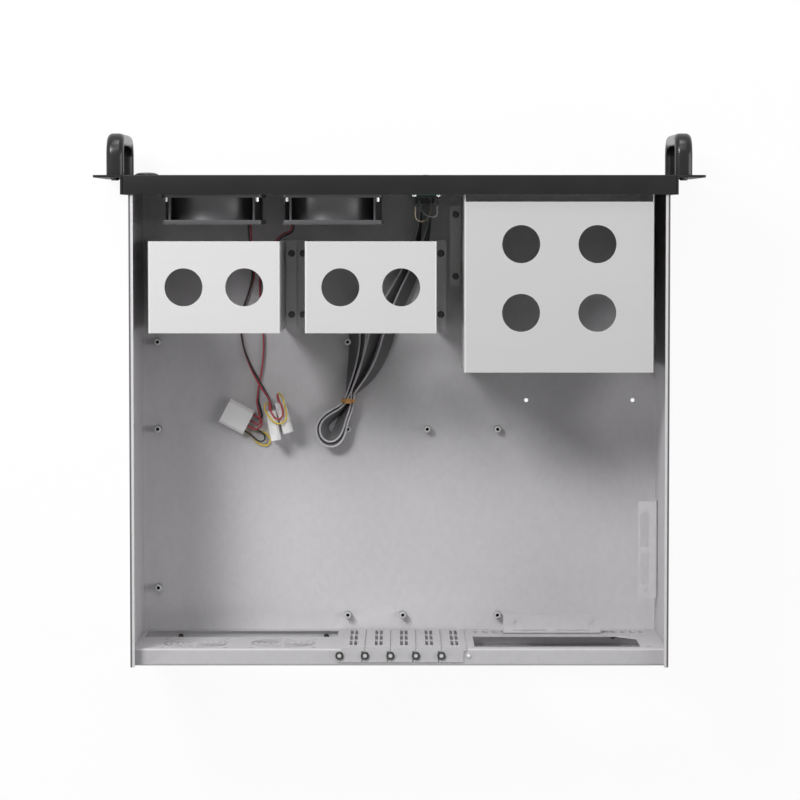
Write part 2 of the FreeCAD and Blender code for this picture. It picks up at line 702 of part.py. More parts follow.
def screw_set(name, spots, plane, seat, head_radius, head_height, shank_radius, shank_length, outward=1):
    """A group of like screws: pan heads on a seat plane, shanks on its other side."""
    body = new_body(name)
    head_from = seat if outward > 0 else seat - head_height
    heads = Drawing(body, plane, head_from)
    for x, y in spots:
        heads.circle(x, y, head_radius)
    heads.pad(head_height)
    face = as_size(seat) + as_size(head_height) * outward
    axis = {"XY": "z", "XZ": "y", "YZ": "x"}[plane]
    bevel_edges(body, as_size(head_height) * 0.45,
                lambda edge: all(near(getattr(v.Point, axis), face) for v in edge.Vertexes))
    shank_from = seat - shank_length if outward > 0 else seat
    shanks = Drawing(body, plane, shank_from)
    for x, y in spots:
        shanks.circle(x, y, shank_radius)
    shanks.pad(shank_length)
    recess_depth = as_size(head_height) * 0.55
    recess_from = face - recess_depth if outward > 0 else face
    recess = Drawing(body, plane, recess_from)
    for x, y in spots:
        recess.rectangle(x - 0.45, y - head_radius * 0.5, x + 0.45, y + head_radius * 0.5)
    recess.cut(recess_depth)
    cross = Drawing(body, plane, recess_from)
    for x, y in spots:
        cross.rectangle(x - head_radius * 0.5, y - 0.45, x + head_radius * 0.5, y + 0.45)
    cross.cut(recess_depth)
    return keep(body, name)


def build_standoffs():
    """Ten threaded posts pressed into the floor."""
    body = new_body("Standoffs")
    spots = [(d.board_x - STANDOFF_COLUMNS[c], d.board_y - STANDOFF_ROWS[r]) for c, r in STANDOFF_PLACES]
    posts = Drawing(body, "XY", d.sheet)
    for x, y in spots:
        posts.circle(x, y, d.standoff_radius)
    posts.pad(d.standoff_height - d.sheet)
    bevel_edges(body, 0.5, lambda edge: all(near(v.Point.z, d.standoff_height) for v in edge.Vertexes))
    bores = Drawing(body, "XY", d.sheet * 2)
    for x, y in spots:
        bores.circle(x, y, d.standoff_hole)
    bores.cut(d.standoff_height - d.sheet * 2)
    keep(body, "standoffs")


# ---------------------------------------------------------------- front

BEZEL_HALF = d.panel_width / 2 - d.ear_reach - d.ear_thickness
BEZEL_BACK_OF_PLATE = d.bezel_front + d.bezel_sheet
BAY_RIGHT = d.bay_left + d.bay_width
BAY_MIDDLE = d.bay_left + d.bay_width / 2
POWER_X = BEZEL_HALF - d.power_margin
BAY_OPENING = d.blank_pitch * 3


def build_bezel():
    """Black front: a plate with its top, bottom and sides folded back."""
    body = new_body("Bezel")
    half = BEZEL_HALF
    shell = Drawing(body, "XZ", d.bezel_front)
    shell.rectangle(-half, 0, half, d.panel_height)
    shell.pad(d.bezel_back - d.bezel_front)
    spots = [(half, 0), (-half, 0), (half, d.panel_height), (-half, d.panel_height)]
    bend_edges(body, "y", spots, 1.2)
    inside = Drawing(body, "XZ", BEZEL_BACK_OF_PLATE)
    wall = d.bezel_sheet
    inside.rectangle(-half + wall, wall, half - wall, d.panel_height - wall)
    inside.cut(d.bezel_back - BEZEL_BACK_OF_PLATE)
    room = Drawing(body, "XZ", d.bulkhead_back)
    room.rectangle(-half + wall, 0, half - wall, wall + 1)
    room.cut(d.bezel_back - d.bulkhead_back)
    holes = Drawing(body, "XZ", d.bezel_front)
    opening = d.bay_width - 1.6
    holes.rectangle(BAY_MIDDLE - opening / 2, d.blank_low, BAY_MIDDLE + opening / 2, d.blank_low + BAY_OPENING)
    holes.circle(POWER_X, d.fan_height, d.power_radius + d.button_gap)
    holes.circle(d.board_centre, d.reset_height, d.reset_radius + d.button_gap)
    for side in (-1, 1):
        x = d.board_centre + d.port_side * side
        holes.circle(x, d.lamp_height, d.lamp_radius + d.seat_gap)
        holes.rectangle(x - 3.1, d.port_height - 7.0, x + 3.1, d.port_height + 7.0)
    holes.cut(d.bezel_sheet)
    for x in (d.fan_1_x, d.fan_2_x):
        vent = Drawing(body, "XZ", d.bezel_front)
        vent.slot(x, d.fan_height - 35, 70, 4.4)
        repeat(body, [vent.cut(d.bezel_sheet)], "Z", 70, 10)
    front_edges = lambda edge: near(edge.BoundBox.YMax, d.bezel_front) and (
        edge.BoundBox.ZMin > d.panel_height.value - 1e-3 or edge.BoundBox.ZMax < 1e-3)
    round_edges(body, 0.8, front_edges)
    keep(body, "front_bezel")


def build_bulkhead():
    """The inner front wall, folded forward all round to fill the bezel."""
    body = new_body("Bulkhead")
    wall = d.bezel_sheet
    half = BEZEL_HALF - wall - d.seat_gap
    low = wall + d.seat_gap
    high = d.panel_height - wall - d.seat_gap
    front = BEZEL_BACK_OF_PLATE + d.seat_gap
    shell = Drawing(body, "XZ", front)
    shell.rectangle(-half, low, half, high)
    shell.pad(d.bulkhead_back - front)
    inside = Drawing(body, "XZ", front)
    inside.rectangle(-half + wall, low + wall, half - wall, high - wall)
    inside.cut(d.bulkhead_back - wall - front)
    holes = Drawing(body, "XZ", d.bulkhead_back - wall)
    for x in (d.fan_1_x, d.fan_2_x):
        holes.circle(x, d.fan_height, d.fan_bore)
        for side in (-1, 1):
            for rise in (-1, 1):
                holes.circle(x + d.fan_screw_side * side, d.fan_height + d.fan_screw_side * rise, d.fan_hole)
    opening = d.bay_width - 2
    holes.rectangle(BAY_MIDDLE - opening / 2, d.blank_low, BAY_MIDDLE + opening / 2, d.blank_low + BAY_OPENING)
    border = 2.5
    holes.rectangle(d.board_centre - d.board_width / 2 + border, d.reset_height - 8,
                    d.board_centre + d.board_width / 2 - border, d.port_height + 12)
    for x, z in board_screw_spots():
        holes.circle(x, z, d.board_screw)
    holes.cut(wall)
    keep(body, "front_bulkhead")


def build_ear(side, name):
    """An angle: the plate that meets the rack, and a leg along the bezel's side."""
    body = new_body("Ear")
    inner = BEZEL_HALF
    outer = d.panel_width / 2
    edges = [inner * side, outer * side]
    left, right = sorted(edges, key=lambda size: size.value)
    plate = Drawing(body, "XZ", d.bezel_front)
    plate.rectangle(left, 0, right, d.panel_height)
    plate.pad(d.ear_thickness)
    round_edges(body, d.ear_corner,
                lambda edge: runs_along(edge, "y", 1) and near(edge.Vertexes[0].Point.x, outer * side))
    leg_edges = [(inner + 0.05) * side, (inner + d.ear_thickness) * side]
    leg_left, leg_right = sorted(leg_edges, key=lambda size: size.value)
    leg = Drawing(body, "XY", 0)
    leg.rectangle(leg_left, d.bezel_front + 1, leg_right, d.bezel_back)
    leg.pad(d.panel_height)
    holes = Drawing(body, "XZ", d.bezel_front)
    middle = d.panel_height / 2
    for rise in (-1, 1):
        holes.slot(d.rack_hole_span / 2 * side, middle + d.rack_hole_rise / 2 * rise,
                   d.rack_slot_length, d.rack_slot_width)
        holes.circle(d.handle_centre * side, middle + d.handle_span / 2 * rise, 2.1)
    holes.cut(d.ear_thickness)
    keep(body, name)


def build_handle(side, name):
    """A bent bar of flat oval section, standing on the ear."""
    body = new_body("Handle")
    x = d.handle_centre * side
    seat = d.bezel_front
    middle = d.panel_height / 2
    low = middle - d.handle_span / 2
    high = middle + d.handle_span / 2
    front = seat - d.handle_reach + d.handle_depth / 2
    turn = d.handle_turn
    path = Drawing(body, "YZ", x)
    y0, y1, y2 = seat.value, (front + turn).value, front.value
    z0, z1, z2, z3 = low.value, (low + turn).value, (high - turn).value, high.value
    vector = FreeCAD.Vector
    path.geometry.append(Part.LineSegment(vector(y0, z0, 0), vector(y1, z0, 0)))
    path._arc(y1, z1, turn.value, 180, 270)
    path.geometry.append(Part.LineSegment(vector(y2, z1, 0), vector(y2, z2, 0)))
    path._arc(y1, z2, turn.value, 90, 180)
    path.geometry.append(Part.LineSegment(vector(y1, z3, 0), vector(y0, z3, 0)))
    path._rule("Tangent", 0, 2, 1, 2)
    path._rule("Tangent", 1, 1, 2, 1)
    path._rule("Tangent", 2, 2, 3, 2)
    path._rule("Tangent", 3, 1, 4, 1)
    path._at(0, 1, seat, low)
    path._at(1, 3, front + turn, low + turn)
    path._at(3, 3, front + turn, high - turn)
    path._at(4, 2, seat, high)
    path._rule("Equal", 1, 3)
    spine = path.close()
    section = Drawing(body, "XZ", seat)
    section.rounded(x - d.handle_width / 2, low - d.handle_depth / 2,
                    x + d.handle_width / 2, low + d.handle_depth / 2, d.handle_corner)
    bar = body.newObject("PartDesign::AdditivePipe", "Bar")
    bar.Profile = section.close()
    bar.Spine = (spine, [])
    bar.Mode = "Standard"
    DOC.recompute()
    taps = Drawing(body, "XZ", seat - 9)
    for z in (low, high):
        taps.circle(x, z, 1.65)
    taps.cut(9)
    keep(body, name)


def build_bay_blank(number):
    """A black cover plate with a folded rim that clips into the bezel's bay opening."""
    body = new_body("BayBlank")
    gap = d.seat_gap
    width = d.bay_width - 1.6 - gap * 2
    low = d.blank_low + d.blank_pitch * (number - 1) + gap
    high = low + d.blank_pitch - gap * 2
    front = d.bezel_front
    block = Drawing(body, "XZ", front)
    block.rectangle(BAY_MIDDLE - width / 2, low, BAY_MIDDLE + width / 2, high)
    block.pad(10)
    round_edges(body, 0.6, lambda edge: near(edge.BoundBox.YMax, front))
    hollow = Drawing(body, "XZ", front + 2)
    hollow.rectangle(BAY_MIDDLE - width / 2 + 2, low + 2, BAY_MIDDLE + width / 2 - 2, high - 2)
    hollow.cut(8)
    keep(body, "bay_blank_%d" % number)


# ---------------------------------------------------------------- drive cages

def hat_section(body, left, right, front, back, low, high, foot):
    """An upturned channel with a foot along each wall."""
    outline = Drawing(body, "XZ", front)
    t = d.sheet
    outline.polygon([(left - foot, low), (left + t, low), (left + t, high - t), (right - t, high - t),
                     (right - t, low), (right + foot, low), (right + foot, low + t), (right, low + t),
                     (right, high), (left, high), (left, low + t), (left - foot, low + t)])
    outline.pad(back - front)
    bend_edges(body, "y", [(left, high), (right, high), (left + t, low), (right - t, low)], OUTER_BEND)
    bend_edges(body, "y", [(left + t, high - t), (right - t, high - t), (left, low + t), (right, low + t)], d.bend)


def build_drive_cage(number, centre):
    """A 3.5 inch drive cage that stands on the floor, open at front and back."""
    body = new_body("DriveCage")
    left = centre - d.cage_width / 2
    right = centre + d.cage_width / 2
    back = d.cage_front + d.cage_depth
    middle = d.cage_front + d.cage_depth / 2
    hat_section(body, left, right, d.cage_front, back, d.sheet, d.cage_top, d.foot_width)
    holes = Drawing(body, "XY", d.cage_top - d.sheet)
    for side in (-1, 1):
        holes.circle(centre + d.cage_hole_side * side, middle, d.cage_hole)
    holes.cut(d.sheet)
    feet = Drawing(body, "XY", d.sheet)
    for x in (left - 5, right + 5):
        for rise in (-1, 1):
            feet.circle(x, middle + d.cage_screw_rise * rise, 1.7)
    feet.cut(d.sheet)
    sides = Drawing(body, "YZ", left)
    for level in range(4):
        height = d.sheet + 12 + d.drive_pitch * level
        for rise in (-1, 1):
            sides.slot(middle + d.drive_hole_gap / 2 * rise, height, 6, 3.6)
    sides.cut(d.cage_width)
    keep(body, "drive_cage_%d" % number)


def build_bay_cage():
    """The 5.25 inch cage: three bays behind the bezel's opening."""
    body = new_body("BayCage")
    left = d.bay_left
    right = BAY_RIGHT
    t = d.sheet
    wall_front = d.bulkhead_back + d.seat_gap
    hat_section(body, left, right, wall_front, d.bay_back, t, d.cage_top, d.foot_width)
    top = Drawing(body, "XY", d.cage_top - t - 2)
    top.rectangle(left + t, wall_front - 1, right - t, d.bay_front)
    top.cut(t + 3)
    for x0, x1 in ((left - d.foot_width - 1, left), (right, right + d.foot_width + 1)):
        for y0, y1 in ((wall_front - 1, d.bay_foot_front), (d.bay_foot_back, d.bay_back + 1)):
            trim = Drawing(body, "XY", t)
            trim.rectangle(x0, y0, x1, y1)
            trim.cut(t + d.bend + 1)
    for x0, x1 in ((left - d.bay_tab, left + t), (right - t, right + d.bay_tab)):
        tab = Drawing(body, "XZ", wall_front)
        tab.rectangle(x0, 20, x1, d.cage_top - 14)
        tab.pad(t)
    holes = Drawing(body, "XY", d.cage_top - t)
    for side in (-1, 1):
        for rise in range(2):
            holes.circle(BAY_MIDDLE + d.bay_hole_side * side,
                         d.bay_front + d.bay_hole_front + d.bay_hole_gap * rise, d.cage_hole)
    holes.cut(t)
    feet = Drawing(body, "XY", t)
    for x in (left - 4.6, right + 4.6):
        for y in (d.bay_foot_front + 7.6, d.bay_foot_back - 7.7):
            feet.circle(x, y, 1.7)
    feet.cut(t)
    sides = Drawing(body, "YZ", left)
    for level in range(3):
        height = d.blank_low + d.blank_pitch * level + 10
        for y in (45, 95, 124):
            sides.slot(y, height, 8, 3.6)
    sides.cut(d.bay_width)
    keep(body, "bay_cage")


def build_cage_screws():
    spots = []
    middle = d.cage_front + d.cage_depth / 2
    for centre in (d.cage_1_x, d.cage_2_x):
        for side in (-1, 1):
            for rise in (-1, 1):
                spots.append((centre + (d.cage_width / 2 + 5) * side, middle + d.cage_screw_rise * rise))
    for x in (d.bay_left - 4.6, BAY_RIGHT + 4.6):
        for y in (d.bay_foot_front + 7.6, d.bay_foot_back - 7.7):
            spots.append((x, y))
    screw_set("cage_screws", spots, "XY", d.sheet * 2, 2.8, 1.8, 1.5, d.sheet)


# ---------------------------------------------------------------- fans

def build_fan_frame(number, x):
    """A square frame: two flanges joined by a round barrel, with a motor plate on three struts."""
    body = new_body("FanFrame")
    half = d.fan_size / 2
    flange = d.fan_flange
    length = d.fan_depth
    barrel = Drawing(body, "XY", 0)
    barrel.circle(0, 0, d.fan_bore + d.fan_wall)
    barrel.pad(length)
    for at in (0, length - flange):
        plate = Drawing(body, "XY", at)
        plate.rounded(-half, -half, half, half, 4)
        plate.pad(flange)
    webs = Drawing(body, "XY", flange - 0.5)
    for side in (-1, 1):
        for rise in (-1, 1):
            x0, x1 = sorted(((d.fan_screw_side - 3.0) * side, (d.fan_screw_side - 1.6) * side), key=lambda s: s.value)
            y0, y1 = sorted((as_size(16) * rise, (half - 0.2) * rise), key=lambda s: s.value)
            webs.rectangle(x0, y0, x1, y1)
    webs.pad(length - flange * 2 + 1)
    bore = Drawing(body, "XY", 0)
    bore.circle(0, 0, d.fan_bore)
    bore.cut(length)
    motor = Drawing(body, "XY", 0)
    motor.circle(0, 0, d.hub_radius - 1)
    motor.pad(flange)
    strut = Drawing(body, "XY", 0)
    strut.rectangle(-2, d.hub_radius - 3, 2, d.fan_bore + 0.6)
    repeat_round(body, [strut.pad(flange - 0.6)], 3)
    holes = Drawing(body, "XY", 0)
    for side in (-1, 1):
        for rise in (-1, 1):
            holes.circle(d.fan_screw_side * side, d.fan_screw_side * rise, d.fan_hole - 0.1)
    holes.cut(length)
    bearing = Drawing(body, "XY", 0.8)
    bearing.circle(0, 0, d.shaft_radius + d.shaft_clearance)
    bearing.cut(flange)
    stand_fan(body, x)
    keep(body, "fan_frame_%d" % number)


def stand_fan(body, x):
    """Turn a fan piece so that its own Z axis points forward, rear face at the fan's back."""
    body.Placement.Rotation = FreeCAD.Rotation(FreeCAD.Vector(1, 0, 0), 90)
    place(body, x, d.bulkhead_back + d.fan_depth, d.fan_height)


def build_fan_rotor(number, x):
    """Hub with shaft and seven pitched blades, trimmed to the barrel."""
    body = new_body("FanRotor")
    start = d.fan_flange + 0.6
    hub_length = d.fan_depth - start - 1.2
    hub = Drawing(body, "XZ", 0)
    hub.polygon([(0, start), (d.hub_radius, start), (d.hub_radius, start + hub_length - 2),
                 (d.hub_radius - 2, start + hub_length), (0, start + hub_length)])
    hub.revolve()
    shaft = Drawing(body, "XY", 1.2)
    shaft.circle(0, 0, d.shaft_radius)
    shaft.pad(start)
    middle = start + hub_length / 2
    sections = []
    for reach, chord, pitch in ((d.hub_radius - 2.5, 19.0, 42.0), (d.fan_bore + 1.5, 26.0, 30.0)):
        drawing = Drawing(body, "YZ", reach)
        along = FreeCAD.Vector(math.cos(math.radians(pitch)), math.sin(math.radians(pitch)), 0)
        across = FreeCAD.Vector(-along.y, along.x, 0)
        corners = []
        for u, v in ((-1, -1), (1, -1), (1, 1), (-1, 1)):
            spot = along * (u * chord / 2) + across * (v * 0.8)
            corners.append((as_size(spot.x), middle + spot.y))
        drawing.polygon(corners)
        sections.append(drawing.close())
    blade = body.newObject("PartDesign::AdditiveLoft", "Blade")
    blade.Profile = sections[0]
    blade.Sections = [sections[1]]
    blade.Ruled = True
    DOC.recompute()
    repeat_round(body, [blade], 7)
    tip = d.fan_bore - d.blade_clearance
    trim = Drawing(body, "XZ", 0)
    trim.rectangle(tip, 0, tip + 20, d.fan_depth)
    trim.revolve(groove=True)
    stand_fan(body, x)
    keep(body, "fan_rotor_%d" % number)


def build_fan_screws(number, x):
    spots = []
    for side in (-1, 1):
        for rise in (-1, 1):
            spots.append((x + d.fan_screw_side * side, d.fan_height + d.fan_screw_side * rise))
    screw_set("fan_screws_%d" % number, spots, "XZ", d.bulkhead_back - d.bezel_sheet, 3.4, 2.0, 1.9, 8.0, outward=-1)


# ---------------------------------------------------------------- brackets and front controls

def build_rear_rest():
    """An angle on the rear wall that carries the power supply's back edge."""
    body = new_body("RearRest")
    wall = d.rear_face - d.seat_gap
    top = d.rest_height
    t = d.sheet
    outline = Drawing(body, "YZ", d.rear_rest_x - d.rest_length / 2)
    outline.polygon([(wall - d.rest_width, top - t), (wall - t, top - t), (wall - t, top - 6), (wall, top - 6),
                     (wall, top), (wall - d.rest_width, top)])
    outline.pad(d.rest_length)
    bend_edges(body, "x", [(wall, top)], OUTER_BEND)
    slits = Drawing(body, "XY", top - t)
    for side in (-1, 1):
        near_edge = d.rear_rest_x + d.rest_window_gap * side
        far_edge = d.rear_rest_x + (d.rest_window_gap + d.rest_window) * side
        x0, x1 = sorted((near_edge, far_edge), key=lambda size: size.value)
        slits.rectangle(x0, wall - 3.6, x1, wall - 2.4)
    slits.cut(t)
    dimples = Drawing(body, "XY", top)
    for side in (-1, 1):
        dimples.circle(d.rear_rest_x + (d.rest_length / 2 - d.rest_dimple_end) * side, wall - 11.5, d.rest_dimple)
    dimples.pad(0.5)
    keep(body, "psu_rest_rear")


def build_side_rest():
    """An angle on the side wall under the power supply, with two windows and two pressed dimples."""
    body = new_body("SideRest")
    wall = -HALF_INSIDE + d.seat_gap
    top = d.rest_height
    t = d.sheet
    front = d.side_rest_y - d.rest_length / 2
    outline = Drawing(body, "XZ", front)
    outline.polygon([(wall, top), (wall, top - 14), (wall + t, top - 14), (wall + t, top - t),
                     (wall + d.rest_width, top - t), (wall + d.rest_width, top)])
    outline.pad(d.rest_length)
    bend_edges(body, "y", [(wall, top)], OUTER_BEND)
    windows = Drawing(body, "XY", top - t)
    for side in (-1, 1):
        near_edge = d.side_rest_y + d.rest_window_gap / 2 * side
        far_edge = d.side_rest_y + (d.rest_window_gap / 2 + d.rest_window) * side
        y0, y1 = sorted((near_edge, far_edge), key=lambda size: size.value)
        windows.rectangle(wall + 7, y0, wall + d.rest_width - 1.7, y1)
    windows.cut(t)
    dimples = Drawing(body, "XY", top)
    for side in (-1, 1):
        dimples.circle(wall + 11.5, d.side_rest_y + (d.rest_length / 2 - d.rest_dimple_end) * side, d.rest_dimple)
    dimples.pad(0.5)
    keep(body, "psu_rest_side")


def build_power_button():
    """A domed cap with a flange behind the bezel and a stem to the switch."""
    body = new_body("PowerButton")
    rim = 1.0
    plate = d.bezel_sheet
    profile = Drawing(body, "XZ", 0)
    flange_front = -(plate + d.button_gap)
    flange_back = flange_front - 1.2
    radius = d.power_radius
    proud = d.power_proud
    stem_end = flange_back - 4.0
    profile.polygon([(0, stem_end), (3, stem_end), (3, flange_back), (radius + 0.9, flange_back),
                     (radius + 0.9, flange_front), (radius, flange_front), (radius, rim),
                     (radius * 0.9, rim + (proud - rim) * 0.45), (radius * 0.62, rim + (proud - rim) * 0.82),
                     (radius * 0.3, rim + (proud - rim) * 0.97), (0, proud)])
    profile.revolve()
    body.Placement.Rotation = FreeCAD.Rotation(FreeCAD.Vector(1, 0, 0), 90)
    place(body, POWER_X, d.bezel_front, d.fan_height)
    keep(body, "power_button")


def build_power_switch():
    """The switch behind the power button, seated on the bulkhead."""
    seat = d.bulkhead_back - d.bezel_sheet
    body = new_body("PowerSwitch")
    case = Drawing(body, "XZ", seat - 3.2)
    case.rounded(POWER_X - 6, d.fan_height - 6, POWER_X + 6, d.fan_height + 6, 1)
    case.pad(3.2)
    plunger = Drawing(body, "XZ", seat - 4.2)
    plunger.circle(POWER_X, d.fan_height, 2.2)
    plunger.pad(1.2)
    keep(body, "power_switch")


def build_reset_button():
    body = new_body("ResetButton")
    profile = Drawing(body, "XZ", 0)
    flange_front = -(d.bezel_sheet + d.button_gap)
    radius = d.reset_radius
    end = -(d.bulkhead_back - d.bezel_front - 4.4)
    profile.polygon([(0, end), (1.2, end), (1.2, flange_front - 1), (radius + 1.2, flange_front - 1),
                     (radius + 1.2, flange_front), (radius, flange_front), (radius, 0.7), (radius - 0.5, 1.2), (0, 1.2)])
    profile.revolve()
    body.Placement.Rotation = FreeCAD.Rotation(FreeCAD.Vector(1, 0, 0), 90)
    place(body, d.board_centre, d.bezel_front, d.reset_height)
    keep(body, "reset_button")


def board_screw_spots():
    """Two screws above and two below the bulkhead's window."""
    side = d.board_width / 2 - 3.4
    return [(d.board_centre + side * sign, z) for sign in (-1, 1) for z in (d.board_low + 20, d.board_high - 4)]


def build_front_board():
    """The circuit board behind the bulkhead that carries sockets, lamps and the reset switch."""
    body = new_body("FrontBoard")
    half = d.board_width / 2
    plate = Drawing(body, "XZ", d.bulkhead_back)
    plate.rectangle(d.board_centre - half, d.board_low, d.board_centre + half, d.board_high)
    plate.pad(d.board_thickness)
    holes = Drawing(body, "XZ", d.bulkhead_back)
    for x, z in board_screw_spots():
        holes.circle(x, z, d.board_screw)
    holes.cut(d.board_thickness)
    switch = Drawing(body, "XZ", d.bulkhead_back - 2.6)
    switch.rectangle(d.board_centre - 3, d.reset_height - 3, d.board_centre + 3, d.reset_height + 3)
    switch.pad(2.8)
    keep(body, "front_board")
    header = new_body("BoardHeader")
    back = d.bulkhead_back + d.board_thickness
    block = Drawing(header, "XZ", back)
    block.rectangle(d.board_centre - 11, d.board_high - 16, d.board_centre + 11, d.board_high - 11)
    block.pad(2.5)
    pins = Drawing(header, "XZ", back)
    for column in range(8):
        x = d.board_centre - 8.89 + 2.54 * column
        for z in (d.board_high - 14.77, d.board_high - 12.23):
            pins.rectangle(x - 0.32, z - 0.32, x + 0.32, z + 0.32)
    pins.pad(8.5)
    keep(header, "board_header")
    ports = new_body("UsbPorts")
    centres = [d.board_centre - d.port_side, d.board_centre + d.port_side]
    front = d.bezel_front + 0.4
    shell = Drawing(ports, "XZ", front)
    room = Drawing(ports, "XZ", front)
    tongue = Drawing(ports, "XZ", front + 1)
    for x in centres:
        shell.rectangle(x - 2.85, d.port_height - 6.6, x + 2.85, d.port_height + 6.6)
        room.rectangle(x - 2.35, d.port_height - 6.1, x + 2.35, d.port_height + 6.1)
        tongue.rectangle(x - 1.9, d.port_height - 5.5, x - 0.2, d.port_height + 5.5)
    shell.pad(d.bulkhead_back - front)
    room.cut(8.8)
    tongue.pad(8.4)
    keep(ports, "usb_ports")
    lamps = new_body("IndicatorLamps")
    radius = d.lamp_radius
    end = -(d.bulkhead_back - d.bezel_front)
    rim = -(d.bezel_sheet + d.seat_gap)
    profile = Drawing(lamps, "XZ", 0)
    profile.polygon([(0, end), (radius, end), (radius, rim - 1), (radius + 0.6, rim - 1), (radius + 0.6, rim),
                     (radius, rim), (radius, 0.2), (radius * 0.7, 0.8), (0, 1.1)])
    lens = profile.revolve()
    repeat(lamps, [lens], "X", d.port_side * 2, 2)
    lamps.Placement.Rotation = FreeCAD.Rotation(FreeCAD.Vector(1, 0, 0), 90)
    place(lamps, centres[0], d.bezel_front, d.lamp_height)
    keep(lamps, "indicator_lamps")


# ---------------------------------------------------------------- cords and plugs

def run_path(points):
    """Straight runs joined by tangent arcs, each as large as its two runs allow."""
    spots = [FreeCAD.Vector(*point) for point in points]
    edges = []
    radii = []
    start = spots[0]
    for before, corner, after in zip(spots, spots[1:], spots[2:]):
        back = before - corner
        ahead = after - corner
        shorter = min(back.Length, ahead.Length)
        half_turn = (math.pi - back.getAngle(ahead)) / 2
        back.normalize()
        ahead.normalize()
        inset = 0.45 * shorter
        radius = inset / math.tan(half_turn)
        radii.append(radius)
        first = corner + back * inset
        last = corner + ahead * inset
        bisector = (back + ahead).normalize()
        centre = corner + bisector * (radius / math.cos(half_turn))
        top = centre - bisector * radius
        edges.append(Part.LineSegment(start, first).toShape())
        edges.append(Part.Arc(first, top, last).toShape())
        start = last
    edges.append(Part.LineSegment(start, spots[-1]).toShape())
    return Part.Wire(edges), radii


def add_shape(name, shape):
    item = DOC.addObject("Part::Feature", name)
    item.Shape = shape
    item.Placement = FreeCAD.Placement()
    return keep(item, name)


def wire_tube(name, points, size=d.wire_radius):
    """One insulated wire along its route."""
    radius = size.value
    path, radii = run_path(points)
    first = path.Edges[0]
    direction = first.tangentAt(first.FirstParameter)
    ring = Part.Wire([Part.Circle(FreeCAD.Vector(*points[0]), direction, radius).toShape()])
    tube = path.makePipeShell([ring], True, False)
    expected = math.pi * radius ** 2 * path.Length
    print("%s: length %.1f, smallest radius %.1f, volume ratio %.4f"
          % (name, path.Length, min(radii), tube.Volume / expected))
    return add_shape(name, tube)


def ribbon_band(name, points, foot):
    """A flat ribbon standing on its edge along a level route."""
    half = d.ribbon_thickness.value / 2
    high = foot + d.ribbon_width.value
    path, radii = run_path([(x, y, foot) for x, y in points])
    first = path.Edges[0]
    along = first.tangentAt(first.FirstParameter)
    side = FreeCAD.Vector(-along.y, along.x, 0) * half
    base = FreeCAD.Vector(points[0][0], points[0][1], foot)
    up = FreeCAD.Vector(0, 0, high - foot)
    corners = [base - side, base + side, base + side + up, base - side + up, base - side]
    section = Part.makePolygon(corners)
    band = path.makePipeShell([section], True, False)
    expected = d.ribbon_thickness.value * d.ribbon_width.value * path.Length
    print("%s: length %.1f, smallest radius %.1f, volume ratio %.4f"
          % (name, path.Length, min(radii), band.Volume / expected))
    return add_shape(name, band)


def pair_of_wires(route):
    """Two wires side by side along a route; its fourth number is how far the pair has turned, in degrees."""
    wires = ([], [])
    spots = [FreeCAD.Vector(x, y, z) for x, y, z, _ in route]
    last = len(spots) - 1
    for number, (spot, stop) in enumerate(zip(spots, route)):
        run = (spots[min(number + 1, last)] - spots[max(number - 1, 0)]).normalize()
        side = run.cross(FreeCAD.Vector(0, 0, 1)).normalize()
        turn = math.radians(stop[3])
        offset = (side * math.cos(turn) + side.cross(run) * math.sin(turn)) * PAIR_HALF
        for wire, sign in zip(wires, (-1, 1)):
            point = spot + offset * sign
            wire.append((round(point.x, 2), round(point.y, 2), round(point.z, 2)))
    return wires


def from_plug(number, spots):
    """Turn distances out of a plug's wire face, and along it, into positions."""
    x, y, angle, longer, _ = PLUGS[number]
    turn = math.radians(angle)
    reach = d.plug_length.value / 2 + longer / 2
    out = []
    for ahead, along, z in spots:
        out.append((round(x + (reach + ahead) * math.cos(turn) - along * math.sin(turn), 4),
                    round(y + (reach + ahead) * math.sin(turn) + along * math.cos(turn), 4), z))
    return out


PAIR_HALF = 0.88
# centre, direction of the wire face in degrees, extra length, and whether the plug stands on its edge
PLUGS = {1: (134.95, 196.35, 152.4, 0, False), 2: (103.7, 202.9, -80.6, 2.0, True),
         3: (95.2, 196.2, -74.0, 3.6, True)}
# heights of the wires in a plug that stands on its edge
WAY_HEIGHTS = (4.28, 9.36, 14.44, 19.52)
FAN_LEAD_1 = [(122.1, 37.1, 40.0, 0), (122.1, 41.6, 40.0, 0), (122.1, 45.8, 35.0, 0), (122.4, 49.0, 24.0, 0),
              (122.5, 56.0, 11.0, 0), (121.5, 67.0, 4.6, 0), (120.5, 80.0, 2.9, 45), (124.5, 93.0, 2.9, 90),
              (129.5, 106.0, 2.9, 90), (131.8, 121.0, 2.9, 90), (130.0, 136.0, 2.9, 90),
              (125.4, 150.4, 4.0, 120), (118.9, 163.4, 6.6, 165), (112.9, 173.4, 7.2, 210),
              (108.6, 180.0, 7.0, 255)]
FAN_LEAD_1_RED, FAN_LEAD_1_BLACK = pair_of_wires(FAN_LEAD_1)
FAN_LEAD_1_RED += from_plug(2, [(5.2, 0, WAY_HEIGHTS[1]), (0, 0, WAY_HEIGHTS[1])])
FAN_LEAD_1_BLACK += from_plug(2, [(5.2, 0, WAY_HEIGHTS[0]), (0, 0, WAY_HEIGHTS[0])])
